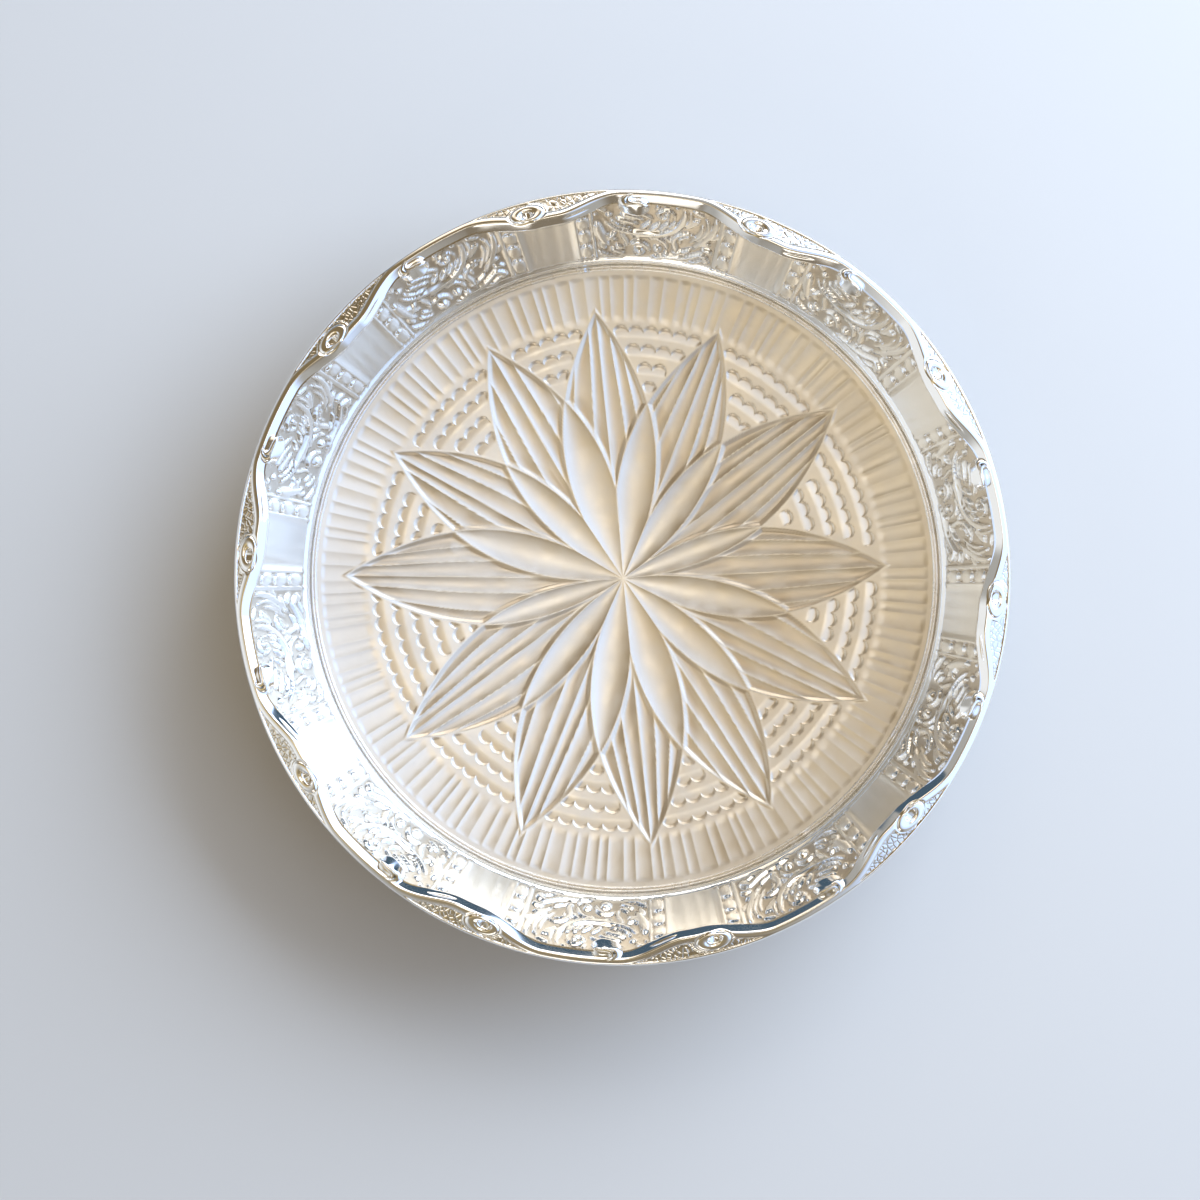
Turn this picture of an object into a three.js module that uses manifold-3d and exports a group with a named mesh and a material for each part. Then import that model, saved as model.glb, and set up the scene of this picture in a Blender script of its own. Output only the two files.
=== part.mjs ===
// Urli bowl of silver-plated brass: a pressed flower floor, a panelled wall, a seam bead,
// a stamped scroll border and a soldered foot ring. Millimetres, +Z up, standing at z = 0.
import * as THREE from 'three';
import { mergeVertices } from 'three/addons/utils/BufferGeometryUtils.js';
import Module from 'manifold-3d';

const wasm = await Module();
wasm.setup();

// Overall sizes
const outerDiameter = 254;
const wallFootDiameter = 213.2;
const wallHeight = 30;
const wallThickness = 1.5;
const wallBulge = 1.1;
const plateThickness = 1.6;
const plateMargin = 1.1;

// Foot ring
const footDiameter = 172;
const footHeight = 7;
const footTopWidth = 4;
const footNeckWidth = 1.8;
const footSoleWidth = 3;
const footFlare = 3.4;
const footSoleHeight = 1.8;
const footTopHeight = 1.2;
const footFacets = 48;

// Flower and flutes of the floor
const petalCount = 12;
const petalReach = 92.5;
const petalWidth = 31;
const petalDepth = 1;
const petalRidgeShare = 0.45;
const gadroonDepth = 0.7;
const firstPetalAngle = 96;
const fluteCount = 140;
const fluteStart = 93.6;
const fluteEnd = 103.2;
const fluteDepth = 0.6;
const fluteRunOut = 1;
const rimFacets = 100;

// Double-beaded wire over the seam between floor and wall
const beadWidth = 1.9;
const beadHeight = 1.1;
const beadValley = 0.5;
const beadButtAngle = 96.6;
const beadFacets = 72;

// Repeat of the wall and the border, with places given as shares of one repeat, clockwise
// from the middle of a plain panel
const repeatCount = 10;
const firstPanelAngle = 102.2;
const plainHalfShare = 0.128;
const beadStripShare = 0.08;
const filletShare = 0.01;
const bevelShare = 0.03;

// Relief of the wall, standing inward
const filletProud = 0.55;
const plainProud = 0.25;
const bevelHollow = 0.45;
const carvedSink = 0.35;
const mouldingHeight = 3.2;
const mouldingProud = 0.7;
const mouldingFillet = 1;

// Main forms of the carved panel: ridges along a few points, given as shares of the panel's
// length and of the height above its moulding
const carvedRidges = [
  { halfWidth: 1.5, proud: 1.25, points: [
    [0.09, 0.66], [0.2, 0.44], [0.4, 0.37], [0.58, 0.43], [0.7, 0.66], [0.69, 0.9]] },
  { halfWidth: 1.5, proud: 1.2, points: [[0.78, 0.2], [0.88, 0.42], [0.95, 0.66], [0.94, 0.88]] },
  { halfWidth: 1.7, proud: 1.15, points: [[0.04, 0.64], [0.06, 0.36], [0.13, 0.12]] },
  { halfWidth: 2.1, proud: 1.25, points: [[0.31, 0.1], [0.57, 0.11]] },
  { halfWidth: 2.4, proud: 0.9, points: [[0.21, 0.7], [0.44, 0.57]] },
];
const ridgeTopShare = 0.35;
const ridgeEndShare = 0.45;
const ridgeRoot = 0.5;

// Stamped border: a sloping flange, rolled over along its wavy inner edge
const borderNarrow = 4.9;
const borderWide = 10.3;
const panelDraw = 2.6;
const lipCover = 0.5;
const lipHeight = 0.8;
const rollWidth = 2.5;
const flangeSlope = 0.3;
const edgeRise = 0.6;
const edgeRound = 1;
const groundSink = 0.35;
const borderThickness = 1.1;
const skirtDrop = 9.5;
const skirtLean = 0.8;
const waveRise = [-0.335, -0.03];
const waveFall = [0.065, 0.345];
const curlPlace = 0.408;
const curlHalfShare = 0.064;
const curlReach = 4.1;
const curlSwell = 0.5;
const volutePlace = -0.07;
const voluteHalfShare = 0.09;
const voluteSwell = 0.8;

// Clearance of a curved face to its neighbour
const solderGap = 0.3;

const outerRadius = outerDiameter / 2;
const wallFootRadius = wallFootDiameter / 2;
const plateTop = footHeight + plateThickness;
const seatHeight = plateTop + wallHeight;
const plateRadius = wallFootRadius + wallThickness + plateMargin;
const repeatAngle = 2 * Math.PI / repeatCount;

const radians = THREE.MathUtils.degToRad;
const smooth = THREE.MathUtils.smoothstep;

// A point at a radius, a height and an angle counted from +X towards +Y
function polar(radius, height, angle) {
  return new THREE.Vector3(radius * Math.cos(angle), radius * Math.sin(angle), height);
}

// A geometry from points and triangles of point numbers
function solid(points, triangles) {
  const geometry = new THREE.BufferGeometry();
  geometry.setAttribute('position', new THREE.Float32BufferAttribute(points.flatMap((p) => p.toArray()), 3));
  geometry.setIndex(triangles);
  geometry.computeVertexNormals();
  return geometry;
}

// A ring swept through closed sections, which follow each other clockwise seen from above.
// Each section runs up its inner side, over the top and down its outer side. An open ring
// gets a cap at each end.
function sweptRing(sections, isOpen) {
  const size = sections[0].length;
  const points = sections.flat();
  const triangles = [];
  const steps = isOpen ? sections.length - 1 : sections.length;
  for (let i = 0; i < steps; i += 1) {
    const here = i * size;
    const next = ((i + 1) % sections.length) * size;
    for (let j = 0; j < size; j += 1) {
      const k = (j + 1) % size;
      triangles.push(here + j, next + k, here + k);
      triangles.push(here + j, next + j, next + k);
    }
  }
  if (isOpen) {
    const last = (sections.length - 1) * size;
    for (const [a, b, c] of sectionFaces(sections[0])) {
      triangles.push(a, b, c);
      triangles.push(last + c, last + b, last + a);
    }
  }
  return solid(points, triangles);
}

// The faces of one flat section, turning as its outline does seen from behind the sweep
function sectionFaces(section) {
  const outline = section.map((p) => new THREE.Vector2(-Math.hypot(p.x, p.y), p.z));
  const faces = THREE.ShapeUtils.triangulateShape(outline, []);
  const turns = THREE.ShapeUtils.isClockWise(outline) ? 1 : -1;
  return faces.map(([a, b, c]) => {
    const p = outline[a];
    const area = (outline[b].x - p.x) * (outline[c].y - p.y) - (outline[c].x - p.x) * (outline[b].y - p.y);
    return area * turns < 0 ? [a, b, c] : [c, b, a];
  });
}

// A band of triangles between two level rings of points with any number of stations each.
// The rings are lists of { angle, point } with rising angles; the second lies outside the
// first, and the faces look up.
function bandFaces(inner, outer, innerStart, outerStart) {
  const triangles = [];
  const full = 2 * Math.PI;
  const angleOf = (ring, i) => ring[i % ring.length].angle + full * Math.floor(i / ring.length);
  let i = 0;
  let j = 0;
  while (i < inner.length || j < outer.length) {
    const here = innerStart + (i % inner.length);
    const there = outerStart + (j % outer.length);
    const innerMiddle = (angleOf(inner, i) + angleOf(inner, i + 1)) / 2;
    const outerMiddle = (angleOf(outer, j) + angleOf(outer, j + 1)) / 2;
    const stepOuter = i >= inner.length || (j < outer.length && outerMiddle <= innerMiddle);
    if (stepOuter) {
      triangles.push(here, there, outerStart + ((j + 1) % outer.length));
      j += 1;
    } else {
      triangles.push(here, there, innerStart + ((i + 1) % inner.length));
      i += 1;
    }
  }
  return triangles;
}

// A ring of evenly spaced stations
function evenRing(count, radius, heightOf) {
  return Array.from({ length: count }, (_, i) => {
    const angle = i * 2 * Math.PI / count;
    return { angle, point: polar(radius, heightOf(i), angle) };
  });
}

// The half angle of a petal at a radius, seen from the centre
const petalSpread = 2 * petalWidth / petalReach;
const halfSector = Math.PI / petalCount;
const petalHalfAngle = (radius) => Math.atan(petalSpread * (1 - radius / petalReach));
const petalRoot = petalReach * Math.max(0.06, 1 - Math.tan(2 * halfSector) / petalSpread);
const petalCrossing = petalReach * Math.max(0.4, 1 - Math.tan(halfSector) / petalSpread);

// One ring through the flower: ribs inside each petal, a gadroon where two petals overlap
function flowerRing(radius) {
  const overlapping = radius < petalCrossing;
  const spread = petalHalfAngle(radius);
  const edge = overlapping ? 2 * halfSector - spread : spread;
  const along = (radius - petalRoot) / (petalReach - petalRoot);
  const dish = petalDepth * Math.sqrt(Math.sin(Math.PI * along));
  const ridge = dish * petalRidgeShare;
  const fade = Math.sqrt(Math.max(0, 1 - radius / petalCrossing));
  const between = overlapping ? gadroonDepth * fade : 0;
  const halfStations = [[0, ridge], [0.25, dish], [0.5, ridge], [0.75, dish], [1, 0]];
  const ring = [];
  for (let petal = 0; petal < petalCount; petal += 1) {
    const axis = 2 * halfSector * petal;
    for (const [share, depth] of halfStations.slice(1).reverse()) {
      ring.push({ angle: axis - share * edge, depth });
    }
    for (const [share, depth] of halfStations) {
      ring.push({ angle: axis + share * edge, depth });
    }
    ring.push({ angle: axis + halfSector, depth: between });
  }
  return ring.map(({ angle, depth }) => ({ angle, point: polar(radius, plateTop - depth, angle) }));
}

// A ring with only the petals' axes and the gadroons' middles, near the centre or the tips
function sparseRing(radius, depth) {
  return evenRing(2 * petalCount, radius, (i) => plateTop - (i % 2 === 1 ? depth : 0));
}

function floorPlate() {
  const flutes = (radius, depth) => evenRing(2 * fluteCount, radius, (i) => plateTop - (i % 2) * depth);
  const rings = [sparseRing(petalRoot / 2, gadroonDepth / 2), sparseRing(petalRoot, gadroonDepth)];
  for (const share of [0.2, 0.45, 0.7, 0.97]) {
    rings.push(flowerRing(THREE.MathUtils.lerp(petalRoot, petalCrossing, share)));
  }
  for (const share of [0.3, 0.6, 0.9]) {
    rings.push(flowerRing(THREE.MathUtils.lerp(petalCrossing, petalReach, share)));
  }
  rings.push(sparseRing(petalReach, 0));
  rings.push(evenRing(fluteCount, fluteStart, () => plateTop));
  rings.push(flutes(fluteStart + fluteRunOut, fluteDepth));
  rings.push(flutes(fluteEnd - fluteRunOut, fluteDepth));
  rings.push(evenRing(fluteCount, fluteEnd, () => plateTop));
  rings.push(evenRing(rimFacets, plateRadius, () => plateTop));
  rings.push(evenRing(rimFacets, plateRadius, () => footHeight));
  rings.push(evenRing(4 * petalCount, footDiameter / 4, () => footHeight));

  const points = [new THREE.Vector3(0, 0, plateTop - gadroonDepth / 2)];
  const triangles = [];
  let start = 1;
  rings[0].forEach((_, i) => triangles.push(0, start + i, start + ((i + 1) % rings[0].length)));
  rings.forEach((ring, i) => {
    points.push(...ring.map((station) => station.point));
    if (i + 1 < rings.length) {
      triangles.push(...bandFaces(ring, rings[i + 1], start, start + ring.length));
      start += ring.length;
    }
  });
  const underside = points.length;
  const last = rings[rings.length - 1];
  points.push(new THREE.Vector3(0, 0, footHeight));
  last.forEach((_, i) => triangles.push(underside, start + ((i + 1) % last.length), start + i));
  const geometry = solid(points, triangles);
  geometry.rotateZ(radians(firstPetalAngle));
  return geometry;
}

// How far the border has widened at a share of the repeat: 1 at the plain panels
function wave(share) {
  const turns = share - Math.round(share);
  return smooth(turns, ...waveRise) * (1 - smooth(turns, ...waveFall));
}

// A rounded bump from 1 at its middle to 0 at its half width
function bump(share, place, half) {
  const away = share - place;
  const distance = (away - Math.round(away)) / half;
  return Math.sqrt(Math.max(0, 1 - distance * distance));
}

// The border's width, and the wall's inner radius at its top
const borderAt = (share) => borderNarrow + (borderWide - borderNarrow) * wave(share)
  + curlReach * bump(share, curlPlace, curlHalfShare);
const wallTopAt = (share) => outerRadius - borderNarrow + lipCover - panelDraw * wave(share);

// All sections of a repeating ring, clockwise, from places in one repeat
function repeatSections(places, sectionAt) {
  const sections = [];
  for (let repeat = 0; repeat < repeatCount; repeat += 1) {
    for (const share of places) {
      const angle = radians(firstPanelAngle) - (repeat + share) * repeatAngle;
      sections.push(sectionAt(share).map(([radius, height]) => polar(radius, height, angle)));
    }
  }
  return sections;
}

// The relief across one repeat of the wall: plain panel, bead strips between fillets, carved panel
const stripEnd = plainHalfShare + beadStripShare;
const halfRelief = [
  [0, plainProud],
  [plainHalfShare - bevelShare, plainProud],
  [plainHalfShare - bevelShare / 2, plainProud - bevelHollow],
  [plainHalfShare, filletProud],
  [plainHalfShare + filletShare, 0],
  [stripEnd - filletShare, 0],
  [stripEnd, filletProud],
  [stripEnd + filletShare, -carvedSink],
  [(stripEnd + 0.5) / 2, -carvedSink],
];
const wallRelief = [
  ...halfRelief.slice(1).reverse().map(([share, proud]) => [-share, proud]),
  ...halfRelief,
  [0.5, -carvedSink],
];

// The wall's inner radius, before its relief
function wallRadius(share, height) {
  const rise = height / wallHeight;
  return THREE.MathUtils.lerp(wallFootRadius, wallTopAt(share), rise) + 4 * wallBulge * rise * (1 - rise);
}

// A ridge standing on the carved panel of one repeat: a flat-topped bar that narrows at both
// ends, rooted inside the wall
function carvedRidge({ halfWidth, proud, points }, repeat) {
  const panelStart = stripEnd + filletShare;
  const panelLength = (1 - 2 * panelStart) * repeatAngle * wallFootRadius;
  const panelHeight = wallHeight - mouldingHeight - mouldingFillet;
  const flat = points.map(([along, up]) => new THREE.Vector2(along * panelLength, up * panelHeight));
  const last = flat.length - 1;
  const sections = flat.map((point, i) => {
    const run = flat[Math.min(i + 1, last)].clone().sub(flat[Math.max(i - 1, 0)]).normalize();
    const side = new THREE.Vector2(-run.y, run.x);
    const isEnd = i === 0 || i === last;
    const half = halfWidth * (isEnd ? ridgeEndShare : 1);
    const top = proud * (isEnd ? ridgeEndShare : 1) - carvedSink;
    const root = -carvedSink - ridgeRoot;
    const corners = [[-half, root], [-half * ridgeTopShare, top], [half * ridgeTopShare, top], [half, root]];
    return corners.map(([away, level]) => {
      const place = point.clone().addScaledVector(side, away);
      const share = panelStart + (1 - 2 * panelStart) * place.x / panelLength;
      const height = mouldingHeight + mouldingFillet + place.y;
      const angle = radians(firstPanelAngle) - (repeat + share) * repeatAngle;
      return polar(wallRadius(share, height) - level, plateTop + height, angle);
    });
  });
  return barSolid(sections);
}

// A closed bar through sections of four points each
function barSolid(sections) {
  const triangles = [0, 1, 2, 0, 2, 3];
  for (let i = 0; i + 1 < sections.length; i += 1) {
    for (let j = 0; j < 4; j += 1) {
      const here = 4 * i + j;
      const side = 4 * i + ((j + 1) % 4);
      triangles.push(here, here + 4, side + 4);
      triangles.push(here, side + 4, side);
    }
  }
  const end = 4 * (sections.length - 1);
  triangles.push(end, end + 2, end + 1, end, end + 3, end + 2);
  return solid(sections.flat(), triangles);
}

// A closed geometry as a solid that can be joined
function joinable(geometry) {
  const bare = new THREE.BufferGeometry();
  bare.setAttribute('position', geometry.getAttribute('position'));
  bare.setIndex(geometry.getIndex());
  const merged = mergeVertices(bare);
  return new wasm.Manifold(new wasm.Mesh({
    numProp: 3,
    vertProperties: Float32Array.from(merged.getAttribute('position').array),
    triVerts: Uint32Array.from(merged.getIndex().array),
  }));
}

function joined(first, others) {
  const mesh = others.reduce((whole, other) => whole.add(joinable(other)), joinable(first)).getMesh();
  const geometry = new THREE.BufferGeometry();
  geometry.setAttribute('position', new THREE.BufferAttribute(mesh.vertProperties, 3));
  geometry.setIndex([...mesh.triVerts]);
  geometry.computeVertexNormals();
  return geometry;
}

function panelledWall() {
  const reliefOf = new Map(wallRelief);
  const sectionAt = (share) => {
    const inner = (height, proud) => [wallRadius(share, height) - proud, plateTop + height];
    const outer = (height) => [wallRadius(share, height) + wallThickness, plateTop + height];
    const proud = reliefOf.get(share);
    return [
      inner(0, 0),
      inner(mouldingHeight / 2, mouldingProud),
      inner(mouldingHeight, 0),
      inner(mouldingHeight + mouldingFillet, proud),
      inner(wallHeight * 0.55, proud),
      inner(wallHeight - lipHeight, proud),
      inner(wallHeight, 0),
      outer(wallHeight),
      outer(wallHeight / 2),
      outer(0),
    ];
  };
  const wall = sweptRing(repeatSections(wallRelief.map(([share]) => share), sectionAt), false);
  const repeats = Array.from({ length: repeatCount }, (_, repeat) => repeat);
  return joined(wall, repeats.flatMap((repeat) => carvedRidges.map((ridge) => carvedRidge(ridge, repeat))));
}

function rimBorder() {
  const curlStations = [-1, -0.9, -0.4, 0.4, 0.9, 1].map((step) => curlPlace + step * curlHalfShare);
  const evenStations = Array.from({ length: 9 }, (_, i) => volutePlace + (i - 4.5) * 0.085);
  const places = [...evenStations.filter((share) => share < curlStations[0] - 0.04), ...curlStations];
  const sectionAt = (share) => {
    const width = borderAt(share);
    const inside = outerRadius - width;
    const curl = curlSwell * bump(share, curlPlace, curlHalfShare);
    const volute = voluteSwell * bump(share, volutePlace, voluteHalfShare);
    const flange = (radius) => edgeRise + edgeRound + flangeSlope * (outerRadius - radius);
    const crest = inside + rollWidth;
    const moulding = THREE.MathUtils.lerp(crest, outerRadius - edgeRound, 0.4);
    const ground = THREE.MathUtils.lerp(crest, outerRadius - edgeRound, 0.75);
    const skirtInside = outerRadius - skirtLean - borderThickness;
    const shoulder = wallTopAt(share) + wallThickness + solderGap;
    const section = [
      [inside, 0],
      [inside + lipHeight / 8, lipHeight],
      [inside + rollWidth * 0.35, THREE.MathUtils.lerp(lipHeight, flange(crest), 0.76) + curl],
      [crest, flange(crest) + curl],
      [moulding, flange(moulding) + volute],
      [ground, flange(ground) - groundSink * wave(share) + volute / 2],
      [outerRadius - edgeRound / 4, edgeRise + edgeRound * 0.7],
      [outerRadius, edgeRise],
      [outerRadius - skirtLean, -skirtDrop],
      [skirtInside, -skirtDrop],
      [outerRadius - borderThickness, edgeRise - borderThickness],
      [shoulder, 0],
    ];
    return section.map(([radius, height]) => [radius, seatHeight + height]);
  };
  return sweptRing(repeatSections(places, sectionAt), false);
}

// The wire ring ends in a butt joint, open by the solder gap
function seamBead() {
  const outside = wallFootRadius - solderGap;
  const inside = outside - beadWidth;
  const gapAngle = solderGap / outside;
  const across = [[0, 0], [0.02, 0.5], [0.25, 1], [0.5, beadValley], [0.75, 1], [0.98, 0.5], [1, 0]];
  const sections = [];
  for (let step = 0; step <= beadFacets; step += 1) {
    const angle = radians(beadButtAngle) - gapAngle / 2 - (2 * Math.PI - gapAngle) * step / beadFacets;
    sections.push(across.map(([share, rise]) => polar(
      inside + share * beadWidth,
      plateTop + rise * beadHeight,
      angle,
    )));
  }
  return sweptRing(sections, true);
}

function footRing() {
  const top = footDiameter / 2;
  const sole = top + footFlare;
  const waist = footHeight - footTopHeight;
  const profile = [
    [sole - footSoleWidth / 2, 0],
    [sole + footSoleWidth / 2, 0],
    [sole + footSoleWidth / 2, footSoleHeight * 0.6],
    [sole + footNeckWidth / 2, footSoleHeight],
    [top + footNeckWidth / 2, waist - footTopHeight],
    [top + footTopWidth / 2, waist],
    [top + footTopWidth / 2, footHeight],
    [top - footTopWidth / 2, footHeight],
    [top - footNeckWidth / 2, waist],
    [sole - footSoleWidth / 2, footSoleHeight],
  ];
  profile.push(profile[0]);
  const geometry = new THREE.LatheGeometry(profile.map(([x, y]) => new THREE.Vector2(x, y)), footFacets);
  geometry.rotateX(Math.PI / 2);
  return geometry;
}

const floorSilver = new THREE.MeshStandardMaterial({ color: 0xd6cab8, roughness: 0.38, metalness: 1 });
const wallSilver = new THREE.MeshStandardMaterial({ color: 0xe6e2da, roughness: 0.24, metalness: 1 });
const rimSilver = new THREE.MeshStandardMaterial({ color: 0xe4e3e0, roughness: 0.1, metalness: 1 });
const beadSilver = new THREE.MeshStandardMaterial({ color: 0xddd3c2, roughness: 0.28, metalness: 1 });
const footSilver = new THREE.MeshStandardMaterial({ color: 0xdcd6cb, roughness: 0.3, metalness: 1 });

const bowl = new THREE.Group();

function add(name, geometry, material) {
  const mesh = new THREE.Mesh(geometry, material);
  mesh.name = name;
  bowl.add(mesh);
}

add('floor_plate', floorPlate(), floorSilver);
add('panelled_wall', panelledWall(), wallSilver);
add('seam_bead', seamBead(), beadSilver);
add('rim_border', rimBorder(), rimSilver);
add('foot_ring', footRing(), footSilver);

export default bowl;
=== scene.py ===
# The dressed urli bowl: chased flower floor, carved wall, bead, scroll border and foot,
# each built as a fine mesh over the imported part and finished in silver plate.
import math

import bpy
import numpy as np
from mathutils import Matrix, Vector


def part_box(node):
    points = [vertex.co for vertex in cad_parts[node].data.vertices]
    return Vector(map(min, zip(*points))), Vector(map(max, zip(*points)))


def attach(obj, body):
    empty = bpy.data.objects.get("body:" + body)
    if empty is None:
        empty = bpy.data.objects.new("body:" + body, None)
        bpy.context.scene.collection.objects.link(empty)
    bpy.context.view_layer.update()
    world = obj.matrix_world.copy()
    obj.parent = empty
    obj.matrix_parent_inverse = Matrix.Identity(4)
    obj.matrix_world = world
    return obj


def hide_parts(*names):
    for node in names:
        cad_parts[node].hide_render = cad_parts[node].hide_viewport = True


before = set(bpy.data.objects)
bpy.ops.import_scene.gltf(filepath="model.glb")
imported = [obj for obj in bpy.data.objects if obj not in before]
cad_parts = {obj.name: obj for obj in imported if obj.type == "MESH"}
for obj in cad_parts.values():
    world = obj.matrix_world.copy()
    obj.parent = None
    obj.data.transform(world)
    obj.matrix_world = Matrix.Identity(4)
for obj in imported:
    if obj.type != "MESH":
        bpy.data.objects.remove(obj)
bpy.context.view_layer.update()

MM = 0.001


def top_of(node):
    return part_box(node)[1][2] / MM


def bottom_of(node):
    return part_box(node)[0][2] / MM


def radius_of(node):
    low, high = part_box(node)
    return max(-low[0], -low[1], high[0], high[1]) / MM


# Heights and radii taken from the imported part, in millimetres
PLATE_TOP = top_of("floor_plate")
PLATE_UNDER = bottom_of("floor_plate")
PLATE_RADIUS = radius_of("floor_plate")
SEAT = top_of("panelled_wall")
RIM_RADIUS = radius_of("rim_border")
RIM_TOP = top_of("rim_border")
SKIRT_BOTTOM = bottom_of("rim_border")
BEAD_OUTSIDE = radius_of("seam_bead")
BEAD_TOP = top_of("seam_bead")

# The repeat round the wall and the border, in degrees clockwise from a plain panel's middle
REPEATS = 10
REPEAT_DEG = 360 / REPEATS
FIRST_PANEL_DEG = 102.2


def smoothstep(low, high, value):
    t = np.clip((value - low) / (high - low), 0, 1)
    return t * t * (3 - 2 * t)


def lerp(a, b, t):
    return a + (b - a) * t


def hump(value, middle, half):
    """A rounded hump, 1 at its middle and 0 at its half width."""
    return np.sqrt(np.clip(1 - ((value - middle) / half) ** 2, 0, 1))


def bell(value, middle, width):
    return np.exp(-((value - middle) / width) ** 2)


def soft_min(a, b, radius):
    return -radius * np.logaddexp(-a / radius, -b / radius)


# Ornament strokes: soft ridges drawn along smooth curves on a flat field

TAPER_END = 0.03
LEAF_LEAN = 0.75
LEAF_LEAST = 0.06
GROOVE_SHARE = 0.32


def curve_through(points, steps=12):
    """Points along a smooth curve through a few given ones."""
    p = np.asarray(points, float)
    ends = np.vstack([2 * p[0] - p[1], p, 2 * p[-1] - p[-2]])
    t = np.linspace(0, 1, steps, endpoint=False)[:, None]
    spans = []
    for a, b, c, d in zip(ends, ends[1:], ends[2:], ends[3:]):
        spans.append(0.5 * (2 * b + (c - a) * t + (2 * a - 5 * b + 4 * c - d) * t ** 2
                            + (3 * b - a - 3 * c + d) * t ** 3))
    return np.vstack(spans + [p[-1:]])


def nearest_on(path, x, y):
    """Distance from each field point to a path, and the share of the path passed there."""
    best = np.full(x.shape, 1e9)
    along = np.zeros(x.shape)
    steps = np.diff(path, axis=0)
    lengths = np.hypot(steps[:, 0], steps[:, 1])
    starts = np.concatenate([[0], np.cumsum(lengths)])
    for a, step, length, start in zip(path, steps, lengths, starts):
        if length < 1e-9:
            continue
        dx, dy = step / length
        t = np.clip((x - a[0]) * dx + (y - a[1]) * dy, 0, length)
        distance = np.hypot(x - a[0] - dx * t, y - a[1] - dy * t)
        closer = distance < best
        best = np.where(closer, distance, best)
        along = np.where(closer, (start + t) / starts[-1], along)
    return best, along


def taper(along, shape):
    """Share of its full width that a stroke has at each point along it."""
    if shape == "both":
        return np.sqrt(np.sin(np.pi * np.clip(along, TAPER_END, 1 - TAPER_END)))
    if shape == "end":
        return np.sqrt(np.clip(1 - along, TAPER_END, 1))
    if shape == "start":
        return np.sqrt(np.clip(along, TAPER_END, 1))
    return np.clip(np.sin(np.pi * np.clip(along, 0.02, 0.98) ** LEAF_LEAN), LEAF_LEAST, 1)


def beside_stroke(points, x, y, reach, shape):
    """Where the field lies near a stroke, and its distance and the stroke's taper there."""
    path = curve_through(points)
    low = path.min(0) - reach
    high = path.max(0) + reach
    near = (x > low[0]) & (x < high[0]) & (y > low[1]) & (y < high[1])
    distance, along = nearest_on(path, x[near], y[near])
    return near, distance, taper(along, shape)


def add_stroke(field, x, y, points, width, height, shape="both", groove=0.0):
    """Raises a rounded ridge on the field, and can sink a groove along its middle."""
    near, distance, share = beside_stroke(points, x, y, width, shape)
    across = distance / (width * share)
    ridge = height * np.clip(share * 1.5, 0.3, 1) * np.sqrt(np.clip(1 - across ** 2, 0, 1))
    ridge -= groove * bell(across, 0, GROOVE_SHARE) * (across < 1)
    field[near] = np.maximum(field[near], ridge)


def add_dome(field, x, y, centre, radius, height):
    """Raises a round boss on the field."""
    distance = np.hypot(x - centre[0], y - centre[1]) / radius
    np.maximum(field, height * np.sqrt(np.clip(1 - distance ** 2, 0, 1)), out=field)


def cut_groove(field, x, y, points, width, depth):
    """Sinks a soft groove that fades at both ends."""
    near, distance, share = beside_stroke(points, x, y, width * 2, "both")
    field[near] -= depth * share * bell(distance, 0, width * share)


# Meshes

def add_object(name, data):
    thing = bpy.data.objects.new(name, data)
    bpy.context.scene.collection.objects.link(thing)
    return thing


def mesh_piece(name, vertices, faces, node, slot, material, attributes, normals=None):
    """A smooth-shaded piece from points in millimetres, standing for a node."""
    mesh = bpy.data.meshes.new(name)
    mesh.vertices.add(len(vertices))
    mesh.vertices.foreach_set("co", (np.asarray(vertices) * MM).astype(np.float32).ravel())
    sizes = np.concatenate([np.full(len(f), f.shape[1]) for f in faces])
    corners = np.concatenate([f.ravel() for f in faces]).astype(np.int32)
    mesh.loops.add(len(corners))
    mesh.loops.foreach_set("vertex_index", corners)
    mesh.polygons.add(len(sizes))
    starts = np.concatenate([[0], np.cumsum(sizes)[:-1]]).astype(np.int32)
    mesh.polygons.foreach_set("loop_start", starts)
    mesh.update(calc_edges=True)
    mesh.polygons.foreach_set("use_smooth", np.ones(len(sizes), bool))
    for key, values in attributes.items():
        layer = mesh.attributes.new(key, "FLOAT", "POINT")
        layer.data.foreach_set("value", np.asarray(values, np.float32).ravel())
    if normals is not None:
        mesh.normals_split_custom_set_from_vertices(normals)
    mesh.materials.append(material)
    piece = add_object(name, mesh)
    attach(piece, "root")
    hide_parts(node)
    return piece


def swept_faces(stations, size, closed=True):
    """Quads of sections that follow each other clockwise, each up its inner side and down
    its outer one."""
    steps = stations if closed else stations - 1
    here = np.arange(steps)[:, None] * size
    there = ((np.arange(steps) + 1) % stations)[:, None] * size
    j = np.arange(size)[None, :]
    k = (j + 1) % size
    return np.stack([here + j, there + j, there + k, here + k], -1).reshape(-1, 4)


def swept_points(radius, height, clock_deg):
    """Points of a swept ring, by station and section point."""
    angle = np.radians(FIRST_PANEL_DEG - clock_deg)[:, None]
    return np.stack([radius * np.cos(angle), radius * np.sin(angle), height], -1).reshape(-1, 3)


def ring_piece(name, radius, height, clock, *rest):
    """A closed ring piece from its section at each station."""
    faces = [swept_faces(len(clock), radius.shape[1])]
    return mesh_piece(name, swept_points(radius, height, clock), faces, *rest)


def all_repeats(places):
    """The stations of one repeat, followed by those of the others."""
    return (np.arange(REPEATS)[:, None] * REPEAT_DEG + places).ravel()


def spans(*pieces):
    """Places along a line from (start, end, count) spans, each without its end."""
    return np.concatenate([np.linspace(a, b, n, endpoint=False) for a, b, n in pieces])


# Camera: the photograph looks down from almost straight above

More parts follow.
